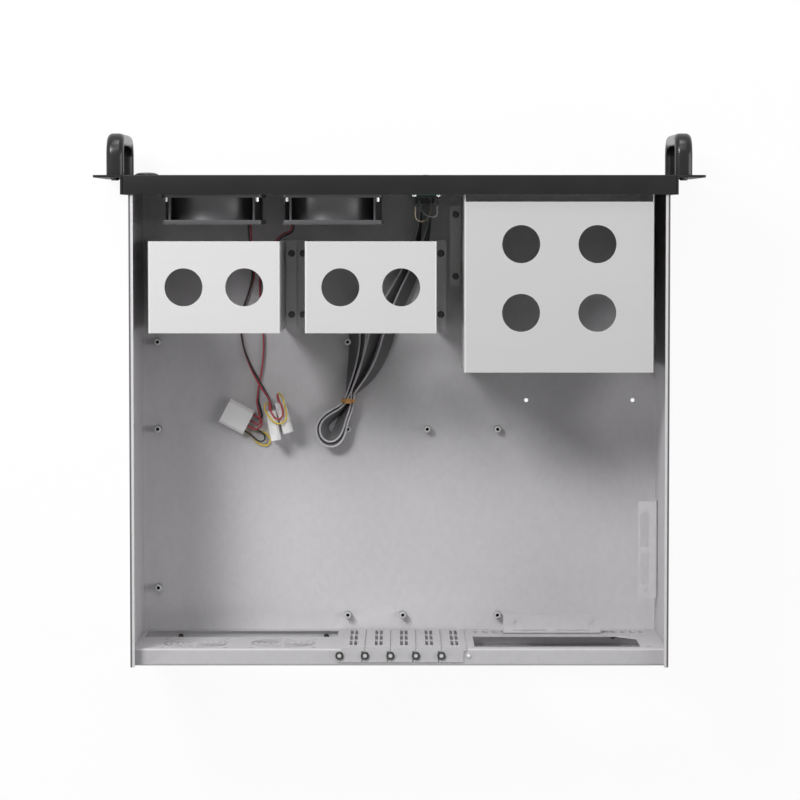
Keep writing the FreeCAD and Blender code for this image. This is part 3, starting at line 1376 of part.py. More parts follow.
FAN_LEAD_2 = [(86.9, 37.1, 42.0, 180), (86.9, 41.2, 42.0, 180), (89.8, 44.0, 37.8, 180), (96.5, 46.1, 25.5, 180),
              (103.4, 54.0, 10.8, 180), (110.5, 65.0, 4.6, 180), (114.7, 78.0, 2.9, 225), (115.7, 93.0, 2.9, 270),
              (114.3, 109.0, 2.9, 270), (112.7, 126.0, 2.9, 270), (112.4, 141.9, 2.9, 270),
              (113.6, 155.0, 2.9, 270), (115.9, 167.4, 2.9, 270), (117.6, 177.0, 2.9, 270)]
FAN_LEAD_2_RED, FAN_LEAD_2_BLACK = pair_of_wires(FAN_LEAD_2)
FAN_LEAD_2_RED += [(118.2, 183.4, 4.0), (117.6, 189.2, 4.6), (115.9, 194.8, 5.2), (115.2, 199.2, 5.6),
                   (115.9, 202.2, 5.6), (118.5, 203.0, 5.6)]
FAN_LEAD_2_RED += from_plug(1, [(3.0, 2.54, 5.6), (0, 2.54, 5.6)])
FAN_LEAD_2_BLACK += [(117.5, 182.8, 2.0), (115.8, 188.4, 2.0), (114.3, 193.0, 2.1), (114.0, 196.3, 2.3),
                     (115.3, 198.4, 2.5), (117.6, 198.0, 2.6)]
FAN_LEAD_2_BLACK += from_plug(1, [(2.4, 7.62, 2.6), (0, 7.62, 2.6)])
JUMPER_1_RED = from_plug(1, [(0, 7.62, 7.4), (3.0, 7.62, 7.4), (6.3, 8.2, 7.4), (9.2, 6.6, 7.4),
                               (10.2, 3.4, 7.4), (9.6, 0.2, 7.4), (7.2, -2.2, 7.4), (3.6, -2.54, 7.4),
                               (0, -2.54, 7.4)])
JUMPER_1_BLACK = from_plug(1, [(0, -2.54, 4.9), (4.2, -2.54, 4.9), (8.6, -1.8, 4.9), (13.2, -1.8, 4.9),
                                 (17.2, -3.4, 4.9), (18.6, -6.8, 4.9), (16.0, -9.4, 4.9), (11.8, -9.6, 4.9),
                                 (7.6, -8.2, 4.9), (3.4, -7.62, 4.9), (0, -7.62, 4.9)])
JUMPER_1_YELLOW = from_plug(1, [(0, -2.54, 2.6), (4.8, -2.54, 2.6), (10.0, -2.4, 2.6), (15.4, -1.0, 2.6),
                                  (20.2, -2.0, 2.6), (23.4, -5.6, 2.6), (22.4, -9.8, 2.6), (18.0, -11.8, 2.6),
                                  (13.0, -11.0, 2.6), (8.6, -8.8, 2.6), (4.2, -7.62, 2.6), (0, -7.62, 2.6)])
JUMPER_2_RED = from_plug(2, [(0, 0, WAY_HEIGHTS[3]), (3.0, 0, WAY_HEIGHTS[3]), (5.9, 0.2, 20.4),
                             (7.2, 0.4, 22.6), (5.5, 0.6, 24.5), (1.8, 1.2, 24.6)])
JUMPER_2_RED += [(104.4, 193.6, 24.5), (101.8, 197.4, 24.4), (97.8, 197.2, 24.4), (95.6, 193.4, 24.4),
                 (96.2, 188.8, 24.4), (97.6, 184.6, 24.5)]
JUMPER_2_RED += from_plug(3, [(2.2, 0.6, 24.6), (5.5, 0.2, 24.5), (7.2, 0, 22.6), (5.9, 0, 20.4),
                              (3.0, 0, WAY_HEIGHTS[3]), (0, 0, WAY_HEIGHTS[3])])
JUMPER_2_YELLOW = from_plug(2, [(0, 0, WAY_HEIGHTS[2]), (3.6, 0, WAY_HEIGHTS[2])])
JUMPER_2_YELLOW += [(108.4, 184.4, 16.2), (110.9, 185.2, 19.8), (111.2, 189.2, 23.2), (108.4, 193.6, 24.6),
                    (105.0, 198.6, 24.5), (100.4, 201.4, 24.4), (95.6, 200.4, 24.4), (92.8, 196.4, 24.4),
                    (93.0, 191.4, 24.4), (94.2, 186.4, 24.4), (95.4, 181.8, 23.8), (96.8, 178.0, 21.4)]
JUMPER_2_YELLOW += from_plug(3, [(7.6, -1.2, 17.8), (6.4, 0, 15.0), (3.2, 0, WAY_HEIGHTS[2]),
                                 (0, 0, WAY_HEIGHTS[2])])
LAMP_LEAD_1 = [(-13.0, 22.8, 104.5), (-12.4, 28.2, 104.6), (-13.2, 33.0, 101.8), (-16.8, 35.0, 96.8),
               (-21.4, 33.8, 91.8), (-24.6, 29.6, 87.0), (-25.6, 24.0, 82.6), (-25.2, 18.6, 79.4),
               (-24.8, 13.7, 78.4)]
LAMP_LEAD_2 = [(-30.0, 22.8, 104.5), (-30.6, 27.6, 104.0), (-29.2, 31.0, 100.2), (-25.2, 31.2, 96.6),
               (-20.6, 29.2, 93.6), (-17.2, 25.0, 89.8), (-15.6, 19.6, 86.4), (-15.2, 13.7, 84.6)]
RIBBON_1 = [(-25.4, 20.0), (-25.0, 34.0), (-22.4, 49.0), (-18.2, 64.0), (-12.8, 79.0), (-7.2, 93.0),
            (-2.6, 106.0), (1.4, 118.0), (4.8, 130.0), (9.0, 142.0), (14.4, 153.0), (21.4, 163.0),
            (30.4, 171.4), (36.8, 177.2), (39.8, 184.0), (41.8, 191.0), (45.2, 197.6), (47.2, 205.4),
            (49.2, 212.8), (54.2, 217.6), (60.8, 216.8), (65.0, 211.2), (65.6, 203.8), (61.4, 197.4),
            (54.4, 192.2), (47.8, 187.8), (44.5, 182.0), (42.4, 169.5), (40.4, 157.5), (39.2, 146.5),
            (38.6, 136.0), (38.6, 126.0), (39.0, 116.5)]
RIBBON_2 = [(-18.0, 20.0), (-17.4, 34.0), (-15.0, 49.0), (-10.6, 63.5), (-4.6, 77.5), (2.4, 90.5),
            (9.6, 103.0), (15.6, 115.0), (20.4, 127.6), (24.0, 140.6), (28.6, 153.0), (34.0, 165.0),
            (38.6, 174.6), (41.3, 183.6), (43.6, 190.2), (47.1, 197.2), (49.4, 204.6), (52.2, 210.6),
            (56.6, 213.8), (61.0, 211.8), (63.0, 206.2), (60.6, 200.2), (54.2, 195.2), (47.4, 190.4),
            (43.0, 183.6), (39.6, 172.6), (35.4, 162.0), (31.4, 150.0), (28.4, 138.0), (26.8, 125.5),
            (26.8, 112.5), (28.4, 100.0)]


def plug_at(name, x, y, turn, length, on_edge):
    """A four-way power plug; its wire side faces along the turn, flat or standing on its edge."""
    body = new_body("PowerPlug")
    wide = d.plug_width
    deep = d.plug_depth
    shell = Drawing(body, "YZ", -length / 2)
    corner = d.plug_corner
    shell.polygon([(-wide / 2, -deep / 2), (wide / 2, -deep / 2), (wide / 2, deep / 2 - corner),
                   (wide / 2 - corner, deep / 2), (corner - wide / 2, deep / 2), (-wide / 2, deep / 2 - corner)])
    shell.pad(length)
    bores = Drawing(body, "YZ", -length / 2)
    for step in (-1.5, -0.5, 0.5, 1.5):
        bores.circle(d.plug_pitch * step, 0, 2.1)
    bores.cut(9)
    rib = Drawing(body, "XY", 1.2 - deep / 2)
    for side in (-1, 1):
        x0, x1 = sorted((wide / 2 * side, (wide / 2 - 1.0) * side), key=lambda size: size.value)
        rib.rectangle(4 - length / 2, x0, length / 2 - 4, x1)
    rib.cut(2.0)
    spin = FreeCAD.Rotation(FreeCAD.Vector(0, 0, 1), turn)
    lie = FreeCAD.Rotation(FreeCAD.Vector(1, 0, 0), 90 if on_edge else 0)
    body.Placement.Rotation = spin.multiply(lie)
    place(body, x, y, d.sheet + 0.1 + (wide if on_edge else deep) / 2)
    keep(body, name)


def build_ribbon_ends():
    """Sockets on the ribbons' free ends, the board socket and the cable tie."""
    low = d.ribbon_foot - 0.6
    high = d.ribbon_foot + d.ribbon_width + 0.6
    for number, (x, y) in ((1, (39.1, 116.1)), (2, (28.5, 99.6))):
        body = new_body("RibbonPlug")
        block = Drawing(body, "XY", low)
        block.rectangle(x - 3.4, y - 9.0, x + 3.4, y)
        block.pad(high - low)
        round_edges(body, 0.6, lambda edge: runs_along(edge, "z"))
        holes = Drawing(body, "XZ", y - 9.0)
        for step in range(4):
            for side in (-1.27, 1.27):
                z = low + 2.8 + 2.54 * step
                holes.rectangle(x + side - 0.4, z - 0.4, x + side + 0.4, z + 0.4)
        holes.cut(5)
        keep(body, "ribbon_plug_%d" % number)
    socket = new_body("RibbonSocket")
    back = d.bulkhead_back + d.board_thickness
    block = Drawing(socket, "XZ", back)
    block.rectangle(d.board_centre - 8, low, d.board_centre + 8, high)
    block.pad(19.9 - back)
    keep(socket, "ribbon_socket")
    tie = new_body("RibbonTie")
    t = d.tie_thickness
    left, right, front, back = 37.6, 47.0, 181.4, 184.2
    low = d.ribbon_foot - 0.3
    high = d.ribbon_foot + d.ribbon_width + 0.3
    ring = Drawing(tie, "XZ", front)
    ring.rounded(left - t, low - t, right + t, high + t, 1.6)
    ring.pad(as_size(back) - front)
    room = Drawing(tie, "XZ", front)
    room.rounded(left, low, right, high, 0.6)
    room.cut(as_size(back) - front)
    latch = Drawing(tie, "XZ", front - 0.6)
    latch.rounded(40.0, high + t - 0.3, 44.4, high + t + 2.2, 0.5)
    latch.pad(4.0)
    keep(tie, "ribbon_tie")


def build_cords():
    wire_tube("fan_lead_1_red", FAN_LEAD_1_RED)
    wire_tube("fan_lead_1_black", FAN_LEAD_1_BLACK)
    wire_tube("fan_lead_2_red", FAN_LEAD_2_RED)
    wire_tube("fan_lead_2_black", FAN_LEAD_2_BLACK)
    wire_tube("jumper_1_red", JUMPER_1_RED)
    wire_tube("jumper_1_black", JUMPER_1_BLACK)
    wire_tube("jumper_1_yellow", JUMPER_1_YELLOW)
    wire_tube("jumper_2_red", JUMPER_2_RED)
    wire_tube("jumper_2_yellow", JUMPER_2_YELLOW)
    wire_tube("lamp_lead_1", LAMP_LEAD_1, d.lamp_wire_radius)
    wire_tube("lamp_lead_2", LAMP_LEAD_2, d.lamp_wire_radius)
    ribbon_band("ribbon_cable_1", RIBBON_1, d.ribbon_foot.value)
    ribbon_band("ribbon_cable_2", RIBBON_2, d.ribbon_foot.value)
    for number, (x, y, turn, longer, on_edge) in PLUGS.items():
        plug_at("power_plug_%d" % number, x, y, turn, d.plug_length + longer, on_edge)
    build_ribbon_ends()


# ---------------------------------------------------------------- assembly

def slot_screw_spots():
    spots = []
    for number in range(5):
        spots.append((d.slot_first_x - d.slot_pitch * number + d.slot_screw_side, d.rear_face + d.slot_screw_back))
    return spots


def handle_screw_spots():
    spots = []
    for side in (-1, 1):
        for rise in (-1, 1):
            spots.append((d.handle_centre * side, d.panel_height / 2 + d.handle_span / 2 * rise))
    return spots


def build_all():
    build_tray()
    build_rear_panel()
    for number in range(1, 6):
        build_slot_cover(number)
    tab_top = d.shelf_height + d.cover_sheet + d.seat_gap
    screw_set("slot_screws", slot_screw_spots(), "XY", tab_top, 3.3, 2.2, 1.4, 5.0)
    screw_set("floor_screws", flange_hole_spots(), "XY", d.sheet * 2, 2.2, 1.0, 1.5, d.sheet * 2)
    build_standoffs()
    build_bezel()
    build_bulkhead()
    build_ear(1, "rack_ear_right")
    build_ear(-1, "rack_ear_left")
    build_handle(1, "handle_right")
    build_handle(-1, "handle_left")
    screw_set("handle_screws", handle_screw_spots(), "XZ", d.bezel_front + d.ear_thickness, 3.6, 2.2, 1.6, 8.0)
    for number in (1, 2, 3):
        build_bay_blank(number)
    build_drive_cage(1, d.cage_1_x)
    build_drive_cage(2, d.cage_2_x)
    build_bay_cage()
    build_cage_screws()
    for number, x in ((1, d.fan_1_x), (2, d.fan_2_x)):
        build_fan_frame(number, x)
        build_fan_rotor(number, x)
        build_fan_screws(number, x)
    build_rear_rest()
    build_side_rest()
    build_power_button()
    build_power_switch()
    build_reset_button()
    build_front_board()
    screw_set("board_screws", board_screw_spots(), "XZ", d.bulkhead_back + d.board_thickness, 2.2, 1.5, 1.2, 4.0)
    build_cords()


def write_parts():
    """Stop on any failed object, then write each sub-part to its own file."""
    DOC.recompute()
    for item in DOC.Objects:
        if "Invalid" in item.State or "Error" in item.State:
            raise RuntimeError("%s (%s) failed" % (item.Name, item.Label))
    os.makedirs("parts", exist_ok=True)
    for item in NODES:
        if item.Shape.isNull() or not item.Shape.isValid() or not item.Shape.Solids:
            raise RuntimeError("%s has no valid solid" % item.Label)
        item.Shape.exportStep("parts/%s.step" % item.Label)
    print("%d sub-parts written" % len(NODES))


build_all()
write_parts()
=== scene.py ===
import json
import math

import bpy
from bpy.props import FloatProperty, FloatVectorProperty, PointerProperty
from mathutils import Matrix, Vector


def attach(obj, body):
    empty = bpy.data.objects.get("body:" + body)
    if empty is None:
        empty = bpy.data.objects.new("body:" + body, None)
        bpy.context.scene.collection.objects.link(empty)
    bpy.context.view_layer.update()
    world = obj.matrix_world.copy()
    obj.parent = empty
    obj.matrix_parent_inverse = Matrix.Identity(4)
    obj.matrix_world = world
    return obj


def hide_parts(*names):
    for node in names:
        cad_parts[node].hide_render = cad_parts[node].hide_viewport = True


bl_info = {
    "name": "Rackmount server case",
    "version": (1, 0, 0),
    "blender": (4, 5, 0),
    "location": "3D View > Sidebar > Case",
    "description": "Finishes and cables of an open rackmount server case",
    "category": "Object",
}

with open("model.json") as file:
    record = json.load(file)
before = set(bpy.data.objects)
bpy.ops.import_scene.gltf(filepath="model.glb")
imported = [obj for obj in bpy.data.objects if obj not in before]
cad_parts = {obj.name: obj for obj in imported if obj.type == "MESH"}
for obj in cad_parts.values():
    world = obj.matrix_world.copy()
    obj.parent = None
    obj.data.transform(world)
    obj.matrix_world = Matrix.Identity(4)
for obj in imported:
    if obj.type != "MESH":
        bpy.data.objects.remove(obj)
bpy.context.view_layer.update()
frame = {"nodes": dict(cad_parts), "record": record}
NODES = frame["nodes"]
BODY_OF = {node: body for body, nodes in frame["record"]["behaviour"]["bodies"].items()
           for node in nodes}

# ------------------------------------------------------------------ routes of the cables

# Control points of smooth curves, in metres. The ribbons' are level, and stand at one height.
ROUTES = {
    "fan_lead_1_red": [
        (0.12122, 0.0371, 0.04), (0.12122, 0.0416, 0.04), (0.12122, 0.04584, 0.035),
        (0.12152, 0.04903, 0.024), (0.12162, 0.05596, 0.011), (0.12062, 0.06693, 0.0046),
        (0.11988, 0.08003, 0.00228), (0.1245, 0.093, 0.00202), (0.1295, 0.106, 0.00202),
        (0.1318, 0.121, 0.00202), (0.12999, 0.13603, 0.00202), (0.12577, 0.15065, 0.00324),
        (0.11963, 0.16383, 0.00637), (0.11355, 0.17379, 0.00764), (0.10878, 0.18014, 0.00785),
        (0.10654, 0.18573, 0.00936), (0.10569, 0.19086, 0.00936),
    ],
    "fan_lead_1_black": [
        (0.12298, 0.0371, 0.04), (0.12298, 0.0416, 0.04), (0.12298, 0.04576, 0.035),
        (0.12328, 0.04897, 0.024), (0.12338, 0.05604, 0.011), (0.12238, 0.06707, 0.0046),
        (0.12112, 0.07997, 0.00352), (0.1245, 0.093, 0.00378), (0.1295, 0.106, 0.00378),
        (0.1318, 0.121, 0.00378), (0.13001, 0.13597, 0.00378), (0.12503, 0.15015, 0.00476),
        (0.11817, 0.16297, 0.00683), (0.11225, 0.17301, 0.00676), (0.10842, 0.17986, 0.00615),
        (0.10654, 0.18573, 0.00428), (0.10569, 0.19086, 0.00428),
    ],
    "fan_lead_2_red": [
        (0.08778, 0.0371, 0.042), (0.08771, 0.04086, 0.042), (0.0902, 0.04322, 0.0378),
        (0.09702, 0.04539, 0.0255), (0.10411, 0.05348, 0.0108), (0.1113, 0.06463, 0.0046),
        (0.11532, 0.07792, 0.00352), (0.1157, 0.093, 0.00378), (0.1143, 0.109, 0.00378),
        (0.1127, 0.126, 0.00378), (0.1124, 0.1419, 0.00378), (0.1136, 0.155, 0.00378),
        (0.1159, 0.1674, 0.00378), (0.1176, 0.177, 0.00378), (0.1182, 0.1834, 0.004),
        (0.1176, 0.1892, 0.0046), (0.1159, 0.1948, 0.0052), (0.1152, 0.1992, 0.0056),
        (0.1159, 0.2022, 0.0056), (0.1185, 0.203, 0.0056), (0.12119, 0.20068, 0.0056),
        (0.12385, 0.19929, 0.0056),
    ],
    "fan_lead_2_black": [
        (0.08602, 0.0371, 0.042), (0.08609, 0.04154, 0.042), (0.0894, 0.04478, 0.0378),
        (0.09598, 0.04681, 0.0255), (0.10269, 0.05452, 0.0108), (0.1097, 0.06537, 0.0046),
        (0.11408, 0.07808, 0.00228), (0.1157, 0.093, 0.00202), (0.1143, 0.109, 0.00202),
        (0.1127, 0.126, 0.00202), (0.1124, 0.1419, 0.00202), (0.1136, 0.155, 0.00202),
        (0.1159, 0.1674, 0.00202), (0.1176, 0.177, 0.00202), (0.1175, 0.1828, 0.002),
        (0.1158, 0.1884, 0.002), (0.1143, 0.193, 0.0021), (0.114, 0.1963, 0.0023),
        (0.1153, 0.1984, 0.0025), (0.1176, 0.198, 0.0026), (0.11937, 0.1959, 0.0026),
        (0.12149, 0.19479, 0.0026),
    ],
    "jumper_1_red": [
        (0.12149, 0.19479, 0.0074), (0.11884, 0.19618, 0.0074), (0.11564, 0.19719, 0.0074),
        (0.11381, 0.19995, 0.0074), (0.11441, 0.20325, 0.0074), (0.11642, 0.20581, 0.0074),
        (0.11966, 0.20682, 0.0074), (0.12301, 0.20546, 0.0074), (0.1262, 0.20379, 0.0074),
    ],
    "jumper_1_black": [
        (0.1262, 0.20379, 0.0049), (0.12248, 0.20574, 0.0049), (0.11824, 0.20712, 0.0049),
        (0.11416, 0.20925, 0.0049), (0.11136, 0.21252, 0.0049), (0.11169, 0.21618, 0.0049),
        (0.1152, 0.21728, 0.0049), (0.11901, 0.21551, 0.0049), (0.12209, 0.21233, 0.0049),
        (0.12554, 0.20987, 0.0049), (0.12856, 0.20829, 0.0049),
    ],
    "jumper_1_yellow": [
        (0.1262, 0.20379, 0.0026), (0.12195, 0.20601, 0.0026), (0.11727, 0.2083, 0.0026),
        (0.11184, 0.20956, 0.0026), (0.10805, 0.21267, 0.0026), (0.10688, 0.21734, 0.0026),
        (0.10971, 0.2206, 0.0026), (0.11454, 0.22034, 0.0026), (0.1186, 0.21731, 0.0026),
        (0.12148, 0.21332, 0.0026), (0.12483, 0.21024, 0.0026), (0.12856, 0.20829, 0.0026),
    ],
    "jumper_2_red": [
        (0.10569, 0.19086, 0.01952), (0.10618, 0.1879, 0.01952), (0.10685, 0.18508, 0.0204),
        (0.10726, 0.18383, 0.0226), (0.10718, 0.18554, 0.0245), (0.10717, 0.18928, 0.0246),
        (0.1044, 0.1936, 0.0245), (0.1018, 0.1974, 0.0244), (0.0978, 0.1972, 0.0244),
        (0.0956, 0.1934, 0.0244), (0.0962, 0.1888, 0.0244), (0.0976, 0.1846, 0.0245),
        (0.099966, 0.18175, 0.0246), (0.10049, 0.17847, 0.0245), (0.10077, 0.17678, 0.0226),
        (0.10041, 0.17803, 0.0204), (0.09961, 0.18082, 0.01952), (0.098783, 0.1837, 0.01952),
    ],
    "jumper_2_yellow": [
        (0.10569, 0.19086, 0.01444), (0.10628, 0.18731, 0.01444), (0.1084, 0.1844, 0.0162),
        (0.1109, 0.1852, 0.0198), (0.1112, 0.1892, 0.0232), (0.1084, 0.1936, 0.0246),
        (0.105, 0.1986, 0.0245), (0.1004, 0.2014, 0.0244), (0.0956, 0.2004, 0.0244),
        (0.0928, 0.1964, 0.0244), (0.093, 0.1914, 0.0244), (0.0942, 0.1864, 0.0244),
        (0.0954, 0.1818, 0.0238), (0.0968, 0.178, 0.0214), (0.099725, 0.17607, 0.0178),
        (0.10055, 0.17755, 0.015), (0.099665, 0.18063, 0.01444), (0.098783, 0.1837, 0.01444),
    ],
    "lamp_lead_1": [
        (-0.013, 0.0228, 0.1045), (-0.0124, 0.0282, 0.1046), (-0.0132, 0.033, 0.1018),
        (-0.0168, 0.035, 0.0968), (-0.0214, 0.0338, 0.0918), (-0.0246, 0.0296, 0.087),
        (-0.0256, 0.024, 0.0826), (-0.0252, 0.0186, 0.0794), (-0.0248, 0.0137, 0.0784),
    ],
    "lamp_lead_2": [
        (-0.03, 0.0228, 0.1045), (-0.0306, 0.0276, 0.104), (-0.0292, 0.031, 0.1002),
        (-0.0252, 0.0312, 0.0966), (-0.0206, 0.0292, 0.0936), (-0.0172, 0.025, 0.0898),
        (-0.0156, 0.0196, 0.0864), (-0.0152, 0.0137, 0.0846),
    ],
    "ribbon_cable_1": [
        (-0.0254, 0.02), (-0.025, 0.034), (-0.0224, 0.049), (-0.0172, 0.064), (-0.0108, 0.079),
        (-0.0042, 0.093), (0.0014, 0.106), (0.0059, 0.118), (0.0093, 0.13), (0.0132, 0.142),
        (0.0179, 0.153), (0.0239, 0.163), (0.0314, 0.1714), (0.0368, 0.1772), (0.0398, 0.184),
        (0.0418, 0.191), (0.0452, 0.1976), (0.0472, 0.2054), (0.0492, 0.2128), (0.0542, 0.2176),
        (0.0608, 0.2168), (0.065, 0.2112), (0.0656, 0.2038), (0.0614, 0.1974), (0.0544, 0.1922),
        (0.0478, 0.1878), (0.0445, 0.182), (0.0424, 0.1695), (0.0399, 0.1575), (0.038, 0.1465),
        (0.0368, 0.136), (0.0368, 0.126), (0.0372, 0.1165),
    ],
    "ribbon_cable_2": [
        (-0.018, 0.02), (-0.0174, 0.034), (-0.015, 0.049), (-0.0106, 0.0635), (-0.0046, 0.0775),
        (0.0024, 0.0905), (0.0101, 0.103), (0.0161, 0.115), (0.0207, 0.1276), (0.024, 0.1406),
        (0.0286, 0.153), (0.034, 0.165), (0.0386, 0.1746), (0.0413, 0.1836), (0.0436, 0.1902),
        (0.0471, 0.1972), (0.0494, 0.2046), (0.0522, 0.2106), (0.0566, 0.2138), (0.061, 0.2118),
        (0.063, 0.2062), (0.0606, 0.2002), (0.0542, 0.1952), (0.0474, 0.1904), (0.043, 0.1836),
        (0.0404, 0.1726), (0.0372, 0.162), (0.0344, 0.15), (0.0324, 0.138), (0.0312, 0.1255),
        (0.0312, 0.1125), (0.0328, 0.1),
    ],
}

# How far each ribbon leans over at its points, in degrees.
LEANS = {
    "ribbon_cable_1": [
        0, 10, 25, 40, 50, 55, 55, 55, 54, 50, 44, 34, 20, 8, -20, -30, -38, -42, -44, -44, -44,
        -44, -42, -38, -30, -20, -8, 15, 30, 42, 50, 54, 56,
    ],
    "ribbon_cable_2": [
        0, 10, 25, 40, 50, 55, 55, 55, 54, 48, 40, 26, 12, -15, -26, -36, -42, -44, -44, -44, -42,
        -38, -30, -20, -8, 15, 28, 40, 48, 53, 55, 56,
    ],
}

# ------------------------------------------------------------------ sizes and colours

# Lengths are in metres, angles in radians and powers in watts.
FLOOR_WIDTH = 12
GLOW_SHARE = 0.93
LAMP_TARGET = (0, 0.18, 0.05)
# Name, place, width and power of each lamp beside the main one.
SIDE_LAMPS = (
    ("Front lamp", (0, -1.2, 1.4), 0.8, 5.0),
    ("Low front lamp", (0, -1.9, 0.7), 0.8, 15.5),
    ("Right lamp", (-1.4, 0.2, 1.3), 0.8, 5.6),
    ("Low right lamp", (-1.9, 0.1, 0.7), 0.8, 12.8),
    ("Low left lamp", (1.9, 0.6, 0.8), 0.8, 14.0),
    ("Low back lamp", (0, 2.4, 0.35), 0.6, 8.0),
)
KEY_PLACE = (0.9, -0.82, 1.35)
KEY_WIDTH = 0.6
CAMERA_PLACE = (-0.000504, 0.031017, 2.649227)
CAMERA_TILT = 0.05725
CAMERA_LENS = 143.71
CAMERA_SENSOR = 36
CAMERA_REACH = 30

RIM_EDGE = 0.2118
RIM_HEIGHT = 0.1295
FIRST_SLOT_SCREW = 0.047805
SLOT_PITCH = 0.02032
SLOT_SCREW_ROW = 0.3797
PAINTED_HIGHLIGHT_RADIUS = 0.0019
STANDOFF_BORE_FLOOR = 0.003
RIBBON_FOOT = 0.0024
RIBBON_CORES = 10
# A ribbon's own map runs round its section: up one side, over the top edge and down the other side.
SIDE_FOOT = 0.214
OTHER_SIDE_FOOT = 0.786
SIDES_PER_TURN = 13.9

PAPER_SHADES = (0.84, 0.84, 0.84), (0.87, 0.87, 0.87)
WALL_SHADE_COLOUR = (0.05, 0.05, 0.052)
RIM_SHADOW = (0.03, 0.03, 0.03)
PAINTED_HEAD_SHADE = (0.03, 0.03, 0.03)
BORE_SHADOW = (0.004, 0.004, 0.004)
SOLDER_MASK = (0.012, 0.09, 0.04)
MASKED_TRACK = (0.02, 0.16, 0.075)
LENS_SHADES = (0.6, 0.66, 0.6), (0.8, 0.84, 0.8)
TRACK_EDGE = 0.42
UPPER_CORE = 0.9

MERGE_DISTANCE = 0.000002
FLAT_ANGLE = math.radians(0.5)
EDGE_ANGLE = math.radians(30)
SMOOTH_ANGLE = math.radians(35)
EDGE_SEGMENTS = 2


def colour(name, text, value):
    """A colour that the sidebar shows."""
    return FloatVectorProperty(name=name, description=text, subtype="COLOR", size=3, min=0, max=1,
                               default=value)


class CaseSettings(bpy.types.PropertyGroup):
    """Sizes and colours of the case's finishes and cables."""

    wire: FloatProperty(name="Fan wire", description="Diameter of a fan wire",
                        default=0.0015, unit="LENGTH")
    thin_wire: FloatProperty(name="Lamp wire", description="Diameter of a lamp wire",
                             default=0.001, unit="LENGTH")
    ribbon_width: FloatProperty(name="Ribbon width", description="Width of a ribbon cable",
                                default=0.012, unit="LENGTH")
    ribbon_thickness: FloatProperty(name="Ribbon thickness",
                                    description="Thickness of a ribbon cable",
                                    default=0.0011, unit="LENGTH")
    key_light: FloatProperty(name="Key light", description="Power of the main soft lamp",
                             default=29.0, unit="POWER")
    side_light: FloatProperty(name="Side light", description="Strength of the other lamps",
                              default=1.0)
    steel: colour("Galvanised steel", "Floor, walls and back", (0.60, 0.588, 0.604))
    plate: colour("Plated steel", "Cages and bulkhead", (0.615, 0.61, 0.61))
    black: colour("Black coat", "Front and ears", (0.009, 0.009, 0.0095))
    plastic: colour("Black plastic", "Fans and buttons", (0.018, 0.018, 0.019))
    nylon: colour("Nylon", "Power plugs", (0.97, 0.96, 0.96))
    ribbon: colour("Ribbon", "Ribbon cables", (0.12, 0.117, 0.122))


def settings():
    return bpy.context.scene.case_settings


# ------------------------------------------------------------------ shader nodes


class Signal:
    """A shader socket that takes part in sums, differences and products."""

    def __init__(self, tree, socket):
        self.tree = tree
        self.socket = socket

    def _math(self, operation, left, right):
        node = self.tree.nodes.new("ShaderNodeMath")
        node.operation = operation
        for slot, value in enumerate((left, right)):
            if isinstance(value, Signal):
                self.tree.links.new(value.socket, node.inputs[slot])
            else:
                node.inputs[slot].default_value = value
        return Signal(self.tree, node.outputs[0])

    def __add__(self, other):
        return self._math("ADD", self, other)

    def __radd__(self, other):
        return self._math("ADD", other, self)

    def __sub__(self, other):
        return self._math("SUBTRACT", self, other)

    def __rsub__(self, other):
        return self._math("SUBTRACT", other, self)

    def __mul__(self, other):
        return self._math("MULTIPLY", self, other)

    def __rmul__(self, other):
        return self._math("MULTIPLY", other, self)


class Network:
    """The nodes of a material or of the world."""

    def __init__(self, tree):
        self.tree = tree

    def add(self, kind, values=None, out=0, **options):
        """Add one node: its options first, then the values or links of its sockets."""
        node = self.tree.nodes.new("ShaderNode" + kind)
        for key, value in options.items():
            setattr(node, key, value)
        for key, value in (values or {}).items():
            if isinstance(value, Signal):
                self.tree.links.new(value.socket, node.inputs[key])
            else:
                node.inputs[key].default_value = value
        return Signal(self.tree, node.outputs[out])

    def seen(self):
        """One for what is seen straight, mirrored or through glass."""
        return (self.add("LightPath", out="Is Camera Ray")
                + self.add("LightPath", out="Is Glossy Ray")
                + self.add("LightPath", out="Is Transmission Ray"))


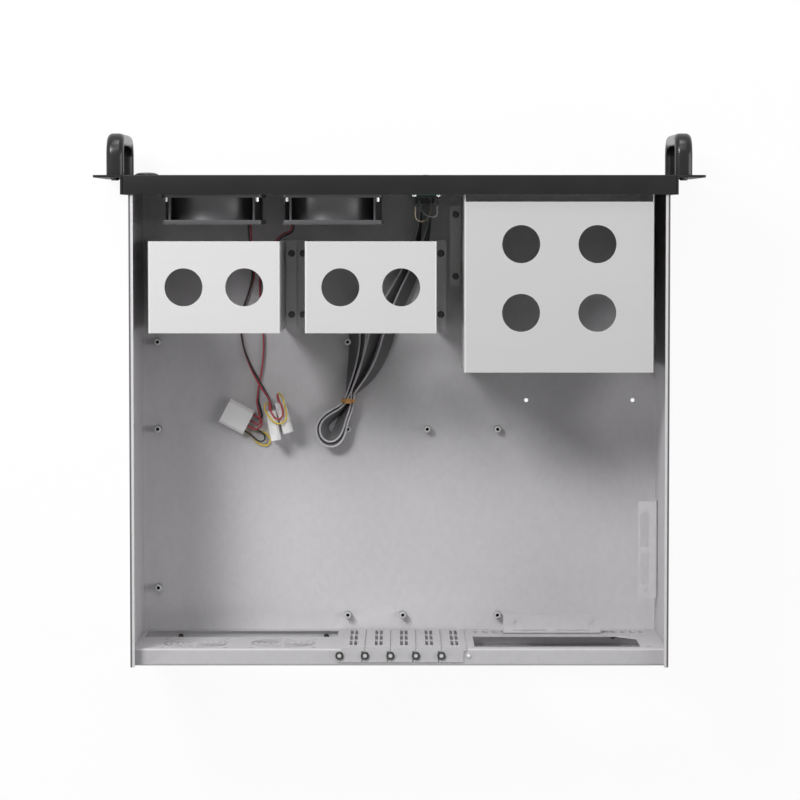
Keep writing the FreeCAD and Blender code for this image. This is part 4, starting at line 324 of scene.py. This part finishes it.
class Finish(Network):
    """A material: its main shader and the nodes that vary its surface."""

    def __init__(self, name, roughness, metallic=0.0, **plain):
        self.material = bpy.data.materials.new(name)
        self.material.use_nodes = True
        super().__init__(self.material.node_tree)
        self.shader = self.tree.nodes["Principled BSDF"]
        self.shader.inputs["Roughness"].default_value = roughness
        self.shader.inputs["Metallic"].default_value = metallic
        for key, value in plain.items():
            socket = key.replace("_", " ").title().replace("Ior", "IOR")
            self.shader.inputs[socket].default_value = value

    def feed(self, socket, signal):
        self.tree.links.new(signal.socket, self.shader.inputs[socket])

    def place(self, stretch=(1, 1, 1)):
        """Object coordinates, stretched."""
        spot = self.add("TexCoord", out="Object")
        return self.add("Mapping", {"Vector": spot, "Scale": stretch})

    def part(self, vector, axis):
        """One of a vector's three parts, by the axis's number."""
        return self.add("SeparateXYZ", {"Vector": vector}, out=axis)

    def noise(self, scale, detail=2.0, roughness=0.5, stretch=(1, 1, 1)):
        return self.add("TexNoise", {"Vector": self.place(stretch), "Scale": scale,
                                     "Detail": detail, "Roughness": roughness})

    def blend(self, factor, first, second):
        """A colour between two colours or colour signals."""
        shades = {}
        for key, value in ((6, first), (7, second)):
            shades[key] = value if isinstance(value, Signal) else (*value, 1)
        return self.add("Mix", {0: factor, **shades}, out=2, data_type="RGBA")

    def cloudy(self, factor, shade, darkest, lightest):
        """One colour, varied between a darker and a lighter tint of it."""
        return self.blend(factor, tint(shade, darkest), tint(shade, lightest))

    def along(self, axis):
        """Place along X, Y or Z, in metres."""
        return self.part(self.place(), axis)

    def facing(self, axis):
        """How far the surface faces along X, Y or Z."""
        return self.part(self.add("NewGeometry", out="Normal"), axis)

    def either_side(self, signal):
        return self.add("Math", {0: signal}, operation="ABSOLUTE")

    def soft_edge(self, signal, slope):
        """Nought where a signal is below nought, and climbing to one above it."""
        return self.add("Clamp", {"Value": signal * slope})

    def bump(self, height, strength, distance):
        """Feed a height to the shader's normal."""
        self.feed("Normal", self.add("Bump", {"Height": height, "Strength": strength,
                                              "Distance": distance}))


def tint(shade, factor):
    return tuple(min(1.0, channel * factor) for channel in shade)


# ------------------------------------------------------------------ finishes


def galvanised_finish(name, shade, wall_shade=0.0, dark_rim=False):
    """Hot-dipped sheet: small soft crystals, fine grain and cloudy patches.

    Its upright faces can carry painted shade, and the outer edge of its rims a painted shadow.
    """
    skin = Finish(name, roughness=0.5, metallic=0.06, specular_ior_level=0.2)
    crystals = skin.add("TexVoronoi", {"Vector": skin.place((1, 0.7, 1)), "Scale": 260.0}, out=1)
    crystal = skin.add("SeparateColor", {"Color": crystals})
    grain = skin.noise(scale=1500.0, detail=3.0, roughness=0.6)
    cloud = skin.noise(scale=9.0, detail=4.0, roughness=0.55)
    mixed = crystal * 0.35 + grain * 0.35 + cloud * 0.3
    sheet = skin.cloudy(mixed, shade, darkest=0.94, lightest=1.055)
    if wall_shade:
        # Painted shade on the side walls, by how far a face turns sideways.
        upright = skin.either_side(skin.facing(0))
        sheet = skin.blend(upright * wall_shade, sheet, WALL_SHADE_COLOUR)
    if dark_rim:
        # Painted shadow along the outer edge of the rims, high on the walls.
        outer = skin.soft_edge(skin.either_side(skin.along(0)) - RIM_EDGE, slope=3000.0)
        high = skin.soft_edge(skin.along(2) - RIM_HEIGHT, slope=3000.0)
        sheet = skin.blend(outer * high * 0.85, sheet, RIM_SHADOW)
    skin.feed("Base Color", sheet)
    skin.feed("Roughness", 0.44 + mixed * 0.14)
    skin.bump(grain + crystal * 0.5, strength=0.05, distance=0.0002)
    return skin.material


def plated_finish(name, shade, rough=0.34):
    """Smooth plated sheet with a faint rolled grain across the case."""
    skin = Finish(name, roughness=rough, metallic=0.15, specular_ior_level=0.3)
    lines = skin.noise(scale=1.0, detail=3.0, roughness=0.6, stretch=(14, 900, 900))
    cloud = skin.noise(scale=12.0, detail=3.0)
    mixed = lines * 0.6 + cloud * 0.4
    skin.feed("Base Color", skin.cloudy(mixed, shade, darkest=0.96, lightest=1.03))
    skin.feed("Roughness", rough - 0.06 + mixed * 0.14)
    skin.bump(lines, strength=0.05, distance=0.0001)
    return skin.material


def coated_finish(name, shade, rough=0.42, peel_scale=1400.0, coat=0.0):
    """Powder coat: fine orange peel, slightly worn and dusty in patches."""
    skin = Finish(name, roughness=rough, coat_weight=coat, coat_roughness=0.2,
                  specular_ior_level=0.2)
    peel = skin.noise(scale=peel_scale)
    cloud = skin.noise(scale=30.0, detail=4.0, roughness=0.6)
    skin.feed("Base Color", skin.cloudy(cloud, shade, darkest=0.75, lightest=1.7))
    skin.feed("Roughness", rough - 0.08 + cloud * 0.18)
    skin.bump(peel, strength=0.12, distance=0.0002)
    return skin.material


def moulded_finish(name, shade, rough=0.5, spark_scale=2200.0, gloss=0.3, darkest=0.85,
                   lightest=1.2):
    """Moulded plastic with a fine spark-eroded grain."""
    skin = Finish(name, roughness=rough, specular_ior_level=gloss)
    grain = skin.noise(scale=spark_scale, roughness=0.6)
    cloud = skin.noise(scale=40.0, detail=3.0)
    skin.feed("Base Color", skin.cloudy(cloud, shade, darkest, lightest))
    skin.feed("Roughness", rough - 0.05 + grain * 0.1)
    skin.bump(grain, strength=0.1, distance=0.0001)
    return skin.material


def screw_finish(name, shade, rough=0.24, metallic=1.0):
    """Plated fasteners with faint turning marks."""
    skin = Finish(name, roughness=rough, metallic=metallic)
    marks = skin.noise(scale=3000.0)
    cloud = skin.noise(scale=300.0)
    skin.feed("Base Color", skin.cloudy(cloud, shade, darkest=0.8, lightest=1.15))
    skin.feed("Roughness", rough + marks * 0.1)
    return skin.material


def slot_screw_finish(name, shade):
    """A row of pan heads, with a painted highlight in the middle and painted shade round it."""
    skin = Finish(name, roughness=0.3, specular_ior_level=0.3)
    # Whole pitches are added, so that the distance to the next screw never starts below nought.
    past_first = skin.along(0) - FIRST_SLOT_SCREW + SLOT_PITCH * 20
    across = skin.add("Math", {0: past_first, 1: SLOT_PITCH / 2}, operation="PINGPONG")
    along = skin.along(1) - SLOT_SCREW_ROW
    from_middle = skin.add("Math", {0: across * across + along * along}, operation="SQRT")
    # Painted highlight in each head's middle, painted shade round it.
    middle = skin.soft_edge(PAINTED_HIGHLIGHT_RADIUS - from_middle, slope=1200.0)
    bright = skin.cloudy(skin.noise(scale=300.0), shade, darkest=0.85, lightest=1.1)
    skin.feed("Base Color", skin.blend(middle, PAINTED_HEAD_SHADE, bright))
    skin.feed("Metallic", middle * 0.5)
    return skin.material


def standoff_finish(name, shade):
    """Posts with painted shade in the bore and at their feet, painted shade on their sides and a
    lighter top.
    """
    skin = Finish(name, roughness=0.4, specular_ior_level=0.2)
    # Painted shade below the bore's floor: in the bore and round the posts' feet.
    raised = skin.soft_edge(skin.along(2) - STANDOFF_BORE_FLOOR, slope=600.0)
    bright = skin.cloudy(skin.noise(scale=400.0), shade, darkest=0.85, lightest=1.1)
    # Painted light: the tops lighter and the sides darker.
    top = skin.soft_edge(skin.facing(2) - 0.7, slope=5.0)
    post = skin.blend(top, tint(shade, 0.8), bright)
    skin.feed("Base Color", skin.blend(raised, BORE_SHADOW, post))
    skin.feed("Metallic", raised * 0.3)
    return skin.material


def board_finish(name):
    """Green solder mask over a pattern of tracks."""
    skin = Finish(name, roughness=0.3, coat_weight=0.4, coat_roughness=0.1)
    cells = skin.add("TexVoronoi", {"Vector": skin.place((1, 1, 0.5)), "Scale": 420.0},
                     distance="MANHATTAN")
    tracks = skin.soft_edge(cells - TRACK_EDGE, slope=25.0)
    skin.feed("Base Color", skin.blend(tracks, SOLDER_MASK, MASKED_TRACK))
    skin.bump(tracks, strength=0.1, distance=0.0001)
    return skin.material


def cable_finish(name, shade, rough=0.42):
    """PVC insulation with a slight haze."""
    skin = Finish(name, roughness=rough)
    haze = skin.noise(scale=500.0, detail=3.0)
    skin.feed("Base Color", skin.cloudy(haze, shade, darkest=0.85, lightest=1.15))
    skin.feed("Roughness", rough - 0.04 + haze * 0.1)
    return skin.material


def ribbon_finish(name, shade):
    """Ribbon cable: cores side by side, the outer one on the upper edge pale."""
    skin = Finish(name, roughness=0.45)
    section = skin.part(skin.add("TexCoord", out="UV"), 1)
    up_one_side = skin.soft_edge(section - SIDE_FOOT, slope=SIDES_PER_TURN)
    height = up_one_side * skin.soft_edge(OTHER_SIDE_FOOT - section, slope=SIDES_PER_TURN)
    wave = skin.add("Math", {0: height * (2 * math.pi * RIBBON_CORES)}, operation="COSINE")
    ridge = 0.5 - wave * 0.5
    haze = skin.noise(scale=300.0, detail=3.0)
    side = skin.cloudy(ridge * 0.7 + haze * 0.3, shade, darkest=0.7, lightest=1.15)
    upper_core = skin.soft_edge(height - UPPER_CORE, slope=20.0)
    skin.feed("Base Color", skin.blend(upper_core, side, tint(shade, 4.8)))
    skin.bump(ridge, strength=0.4, distance=0.0004)
    return skin.material


def lens_finish(name):
    """Clear lamp lens, slightly milky."""
    skin = Finish(name, roughness=0.15, transmission_weight=0.4, coat_weight=0.5)
    haze = skin.noise(scale=700.0)
    skin.feed("Base Color", skin.blend(haze, *LENS_SHADES))
    return skin.material


# ------------------------------------------------------------------ shared modelling steps


def nodes_named(*starts):
    return [name for name in sorted(NODES) if name.startswith(starts)]


def dress(names, material):
    """Give CAD nodes a finish through their own slots."""
    for name in names:
        for slot in NODES[name].material_slots:
            slot.material = material


def select_only(piece):
    bpy.ops.object.select_all(action="DESELECT")
    piece.select_set(True)
    bpy.context.view_layer.objects.active = piece


def merge_doubles(piece):
    """Join a copied mesh's faces and clear its needless edges."""
    select_only(piece)
    bpy.ops.object.mode_set(mode="EDIT")
    bpy.ops.mesh.select_all(action="SELECT")
    bpy.ops.mesh.remove_doubles(threshold=MERGE_DISTANCE)
    bpy.ops.mesh.dissolve_limited(angle_limit=FLAT_ANGLE)
    bpy.ops.object.mode_set(mode="OBJECT")


def round_edges(piece, width):
    bevel = piece.modifiers.new("Edge", "BEVEL")
    bevel.width = width
    bevel.segments = EDGE_SEGMENTS
    bevel.limit_method = "ANGLE"
    bevel.angle_limit = EDGE_ANGLE
    bpy.ops.object.modifier_apply(modifier=bevel.name)


def stand_in(piece, node):
    """Put a finished piece in place of a CAD node, on its body."""
    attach(piece, BODY_OF[node])
    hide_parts(node)


def refined(node, material, edge=0.0):
    """A copy of a CAD node, merged and with its edges slightly rounded, in place of it."""
    piece = bpy.data.objects.new(node + "_finish", NODES[node].data.copy())
    bpy.context.scene.collection.objects.link(piece)
    merge_doubles(piece)
    if edge:
        round_edges(piece, edge)
    bpy.ops.object.transform_apply(location=True, rotation=True, scale=True)
    bpy.ops.object.shade_smooth_by_angle(angle=SMOOTH_ANGLE)
    piece.data.materials.clear()
    piece.data.materials.append(material)
    stand_in(piece, node)


def smooth_curve(name, points, material, radius, roundness=3):
    """A round cord along a smooth line by its control points."""
    data = bpy.data.curves.new(name, "CURVE")
    data.dimensions = "3D"
    # The radius is set at the points, so the profile keeps unit depth.
    data.bevel_depth = 1.0
    data.bevel_resolution = roundness
    data.resolution_u = 8
    data.use_fill_caps = True
    spline = data.splines.new("NURBS")
    spline.points.add(len(points) - 1)
    for control, place in zip(spline.points, points):
        control.co = (*place, 1)
        control.radius = radius
    spline.order_u = 3
    spline.use_endpoint_u = True
    piece = bpy.data.objects.new(name, data)
    bpy.context.scene.collection.objects.link(piece)
    data.materials.append(material)
    return piece


def round_wire(node, points, material, thickness):
    """A wire in place of a CAD node."""
    piece = smooth_curve(node + "_wire", points, material, thickness / 2)
    stand_in(piece, node)
    return piece


def standing_band(node, points, leans, material):
    """A ribbon in place of a CAD node: on its edge along a level line, leaning over by degrees."""
    size = settings()
    piece = smooth_curve(node + "_band", points, material, size.ribbon_thickness / 2, roundness=2)
    piece.data.twist_mode = "Z_UP"
    piece.data.extrude = size.ribbon_width / size.ribbon_thickness - 1
    for control, lean in zip(piece.data.splines[0].points, leans):
        control.tilt = math.radians(lean)
    stand_in(piece, node)
    return piece


# ------------------------------------------------------------------ operators


class CASE_OT_stage(bpy.types.Operator):
    """Floor, lamps, sky and camera"""

    bl_idname = "case.stage"
    bl_label = "Stage"

    def execute(self, context):
        context.scene.view_settings.view_transform = "Standard"
        self.floor(context)
        self.sky(context.scene)
        self.lamps(context)
        self.camera(context.scene)
        return {"FINISHED"}

    def floor(self, context):
        """Pale paper that looks white and still holds the case's shadow."""
        bpy.ops.object.select_all(action="DESELECT")
        bpy.ops.mesh.primitive_plane_add(size=FLOOR_WIDTH)
        floor = context.object
        floor.name = "stage_floor"
        paper = Finish("pale_floor", roughness=0.9)
        tone = paper.noise(scale=2.0)
        paper.feed("Base Color", paper.blend(tone, *PAPER_SHADES))
        glow = paper.add("Emission", {"Color": (1, 1, 1, 1), "Strength": 1.0})
        surface = Signal(paper.tree, paper.shader.outputs[0])
        mixed = paper.add("MixShader", {0: paper.seen() * GLOW_SHARE, 1: surface, 2: glow})
        output = paper.tree.nodes["Material Output"]
        paper.tree.links.new(mixed.socket, output.inputs["Surface"])
        floor.data.materials.append(paper.material)

    def sky(self, scene):
        """White where it is seen or mirrored, and no light besides."""
        world = bpy.data.worlds.new("White room")
        scene.world = world
        world.use_nodes = True
        room = Network(world.node_tree)
        shader = room.tree.nodes["Background"]
        room.tree.links.new(room.seen().socket, shader.inputs["Strength"])
        shader.inputs["Color"].default_value = (1, 1, 1, 1)

    def lamps(self, context):
        """Soft square lamps, all turned to the middle of the case."""
        size = settings()
        key = ("Key lamp", KEY_PLACE, KEY_WIDTH, size.key_light)
        others = [(name, place, width, power * size.side_light)
                  for name, place, width, power in SIDE_LAMPS]
        for name, place, width, power in [key] + others:
            data = bpy.data.lights.new(name, "AREA")
            data.shape = "SQUARE"
            data.size = width
            data.energy = power
            lamp = bpy.data.objects.new(name, data)
            context.scene.collection.objects.link(lamp)
            lamp.location = place
            towards = Vector(LAMP_TARGET) - Vector(place)
            lamp.rotation_euler = towards.to_track_quat("-Z", "Y").to_euler()
            lamp.visible_camera = False

    def camera(self, scene):
        """Above the case, looking down with its top towards the front panel."""
        data = bpy.data.cameras.new("Camera")
        data.lens = CAMERA_LENS
        data.sensor_width = CAMERA_SENSOR
        data.clip_end = CAMERA_REACH
        camera = bpy.data.objects.new("Camera", data)
        scene.collection.objects.link(camera)
        x, y, z = CAMERA_PLACE
        level, leaning = math.cos(CAMERA_TILT), math.sin(CAMERA_TILT)
        camera.matrix_world = Matrix(((-1, 0, 0, x),
                                      (0, -level, -leaning, y),
                                      (0, -leaning, level, z),
                                      (0, 0, 0, 1)))
        scene.camera = camera


class CASE_OT_sheet_metal(bpy.types.Operator):
    """Floor, walls, back, covers and brackets"""

    bl_idname = "case.sheet_metal"
    bl_label = "Sheet metal"

    def execute(self, context):
        steel = settings().steel
        dress(["chassis_tray"],
              galvanised_finish("galvanised_sheet", steel, wall_shade=0.28, dark_rim=True))
        dress(["rear_panel"] + nodes_named("slot_cover"),
              galvanised_finish("rear_sheet", tint(steel, 0.82)))
        dress(nodes_named("psu_rest"), galvanised_finish("rest_sheet", tint(steel, 0.98)))
        dress(["standoffs"], standoff_finish("standoff_zinc", (0.62, 0.62, 0.62)))
        # Near black, so that the screws read as the shade in their holes: painted shade.
        dress(["floor_screws"],
              screw_finish("screws_in_painted_shade", (0.03, 0.03, 0.03), rough=0.4, metallic=0.5))
        return {"FINISHED"}


class CASE_OT_cages(bpy.types.Operator):
    """Drive cages, the bulkhead and their screws"""

    bl_idname = "case.cages"
    bl_label = "Cages"

    def execute(self, context):
        plate = settings().plate
        dress(["drive_cage_1"], plated_finish("plated_sheet", plate))
        dress(["drive_cage_2"], plated_finish("plated_sheet_2", tint(plate, 0.94)))
        dress(["bay_cage"], plated_finish("bay_sheet", tint(plate, 0.86)))
        dress(["front_bulkhead"], plated_finish("bulkhead_sheet", tint(plate, 0.8), rough=0.42))
        dress(nodes_named("fan_screws"), screw_finish("bright_zinc", (0.7, 0.7, 0.7)))
        dress(["slot_screws"], slot_screw_finish("slot_zinc", (0.75, 0.75, 0.74)))
        # Darkened to look shaded: painted shade on the cage screws.
        dress(["cage_screws"],
              screw_finish("zinc_in_painted_shade", (0.09, 0.09, 0.09), rough=0.4, metallic=0.6))
        return {"FINISHED"}


class CASE_OT_front(bpy.types.Operator):
    """Front plate, ears, handles, buttons, lamps and sockets"""

    bl_idname = "case.front"
    bl_label = "Front"

    def execute(self, context):
        black, plastic = settings().black, settings().plastic
        coat = coated_finish("black_coat", black)
        for node in ["front_bezel"] + nodes_named("rack_ear"):
            refined(node, coat, edge=0.0004)
        gloss = coated_finish("handle_gloss", tint(black, 0.45), rough=0.3, peel_scale=700.0,
                              coat=0.28)
        for node in ("handle_right", "handle_left"):
            refined(node, gloss)
        blank = moulded_finish("bay_blank_plastic", plastic, rough=0.45)
        for node in nodes_named("bay_blank"):
            refined(node, blank, edge=0.0004)
        button = moulded_finish("button_plastic", plastic, rough=0.3)
        for node in ("power_button", "reset_button", "power_switch"):
            refined(node, button, edge=0.0001)
        dress(["handle_screws"], screw_finish("black_screws", (0.05, 0.05, 0.05), rough=0.35))
        dress(["usb_ports"], screw_finish("socket_shell", (0.6, 0.6, 0.6)))
        dress(["indicator_lamps"], lens_finish("lamp_lens"))
        return {"FINISHED"}


class CASE_OT_fans(bpy.types.Operator):
    """Two front fans"""

    bl_idname = "case.fans"
    bl_label = "Fans"

    def execute(self, context):
        shell = moulded_finish("fan_plastic", tint(settings().plastic, 4.4), rough=0.4, gloss=0.5)
        for node in nodes_named("fan_frame", "fan_rotor"):
            refined(node, shell, edge=0.0003)
        return {"FINISHED"}


class CASE_OT_board(bpy.types.Operator):
    """Front circuit board, header and lamp wires"""

    bl_idname = "case.board"
    bl_label = "Front board"

    def execute(self, context):
        dress(["front_board"], board_finish("solder_mask"))
        dress(["board_screws"], screw_finish("board_zinc", (0.6, 0.6, 0.6)))
        dress(["board_header"] + nodes_named("ribbon_plug", "ribbon_socket"),
              moulded_finish("connector_plastic", (0.02, 0.02, 0.022)))
        dress(["ribbon_tie"], moulded_finish("tie_nylon", (0.52, 0.27, 0.09), rough=0.45))
        thin = settings().thin_wire
        for node, shade, length in (("lamp_lead_1", (0.5, 0.4, 0.3), 0.0493),
                                    ("lamp_lead_2", (0.35, 0.35, 0.37), 0.0400)):
            points = ROUTES[node]
            lead = round_wire(node, points, cable_finish(node + "_pvc", shade), thin)
        return {"FINISHED"}


class CASE_OT_wires(bpy.types.Operator):
    """Fan wires, the short power wires between the plugs, and the plugs' finish"""

    bl_idname = "case.wires"
    bl_label = "Wires"

    def execute(self, context):
        red = cable_finish("red_pvc", (0.42, 0.05, 0.07))
        black = cable_finish("black_pvc", (0.012, 0.012, 0.012), rough=0.35)
        yellow = cable_finish("yellow_pvc", (0.78, 0.58, 0.08))
        for node, insulation, length, plug in (("fan_lead_1_red", red, 0.1812, "power_plug_2"),
                                               ("fan_lead_1_black", black, 0.1803, "power_plug_2"),
                                               ("fan_lead_2_red", red, 0.2032, "power_plug_1"),
                                               ("fan_lead_2_black", black, 0.1984, "power_plug_1")):
            self.wire(node, insulation, length, far_end="plug", with_pieces=[NODES[plug]])
        # The first link is too short to count as a cord.
        self.wire("jumper_1_red", red)
        for node, insulation, length in (("jumper_1_black", black, 0.0404),
                                         ("jumper_1_yellow", yellow, 0.0522),
                                         ("jumper_2_red", red, 0.0582),
                                         ("jumper_2_yellow", yellow, 0.0761)):
            self.wire(node, insulation, length, far_end="object")
        dress(nodes_named("power_plug"),
              moulded_finish("white_nylon", settings().nylon, rough=0.35, spark_scale=900.0,
                             gloss=0.9, darkest=0.97, lightest=1.03))
        return {"FINISHED"}

    def wire(self, node, insulation, length=None, **ends):
        """One wire on its route. Its length is not used."""
        points, thickness = ROUTES[node], settings().wire
        piece = round_wire(node, points, insulation, thickness)


class CASE_OT_ribbons(bpy.types.Operator):
    """Two ribbon cables"""

    bl_idname = "case.ribbons"
    bl_label = "Ribbons"

    def execute(self, context):
        width = settings().ribbon_width
        skin = ribbon_finish("ribbon_pvc", settings().ribbon)
        for number, length in ((1, 0.3338), (2, 0.3367)):
            node = "ribbon_cable_%d" % number
            route = ROUTES[node]
            points = [(x, y, RIBBON_FOOT + width / 2) for x, y in route]
            band = standing_band(node, points, LEANS[node], skin)
        return {"FINISHED"}


class CASE_PT_sidebar(bpy.types.Panel):
    """The case's steps and settings"""

    bl_label = "Server case"
    bl_idname = "CASE_PT_sidebar"
    bl_space_type = "VIEW_3D"
    bl_region_type = "UI"
    bl_category = "Case"

    def draw(self, context):
        for operator in STEPS:
            self.layout.operator(operator.bl_idname)
        for key in CaseSettings.__annotations__:
            self.layout.prop(context.scene.case_settings, key)


STEPS = (CASE_OT_stage, CASE_OT_ribbons, CASE_OT_wires, CASE_OT_sheet_metal, CASE_OT_cages,
         CASE_OT_front, CASE_OT_fans, CASE_OT_board)
CLASSES = (CaseSettings,) + STEPS + (CASE_PT_sidebar,)


def register():
    for entry in CLASSES:
        bpy.utils.register_class(entry)
    bpy.types.Scene.case_settings = PointerProperty(type=CaseSettings)


def unregister():
    del bpy.types.Scene.case_settings
    for entry in reversed(CLASSES):
        bpy.utils.unregister_class(entry)


def main():
    register()
    for step in STEPS:
        group, _, action = step.bl_idname.partition(".")
        result = getattr(getattr(bpy.ops, group), action)()
        if result != {"FINISHED"}:
            raise RuntimeError("the step %s did not finish" % step.bl_label)


if __name__ == "__main__":
    main()
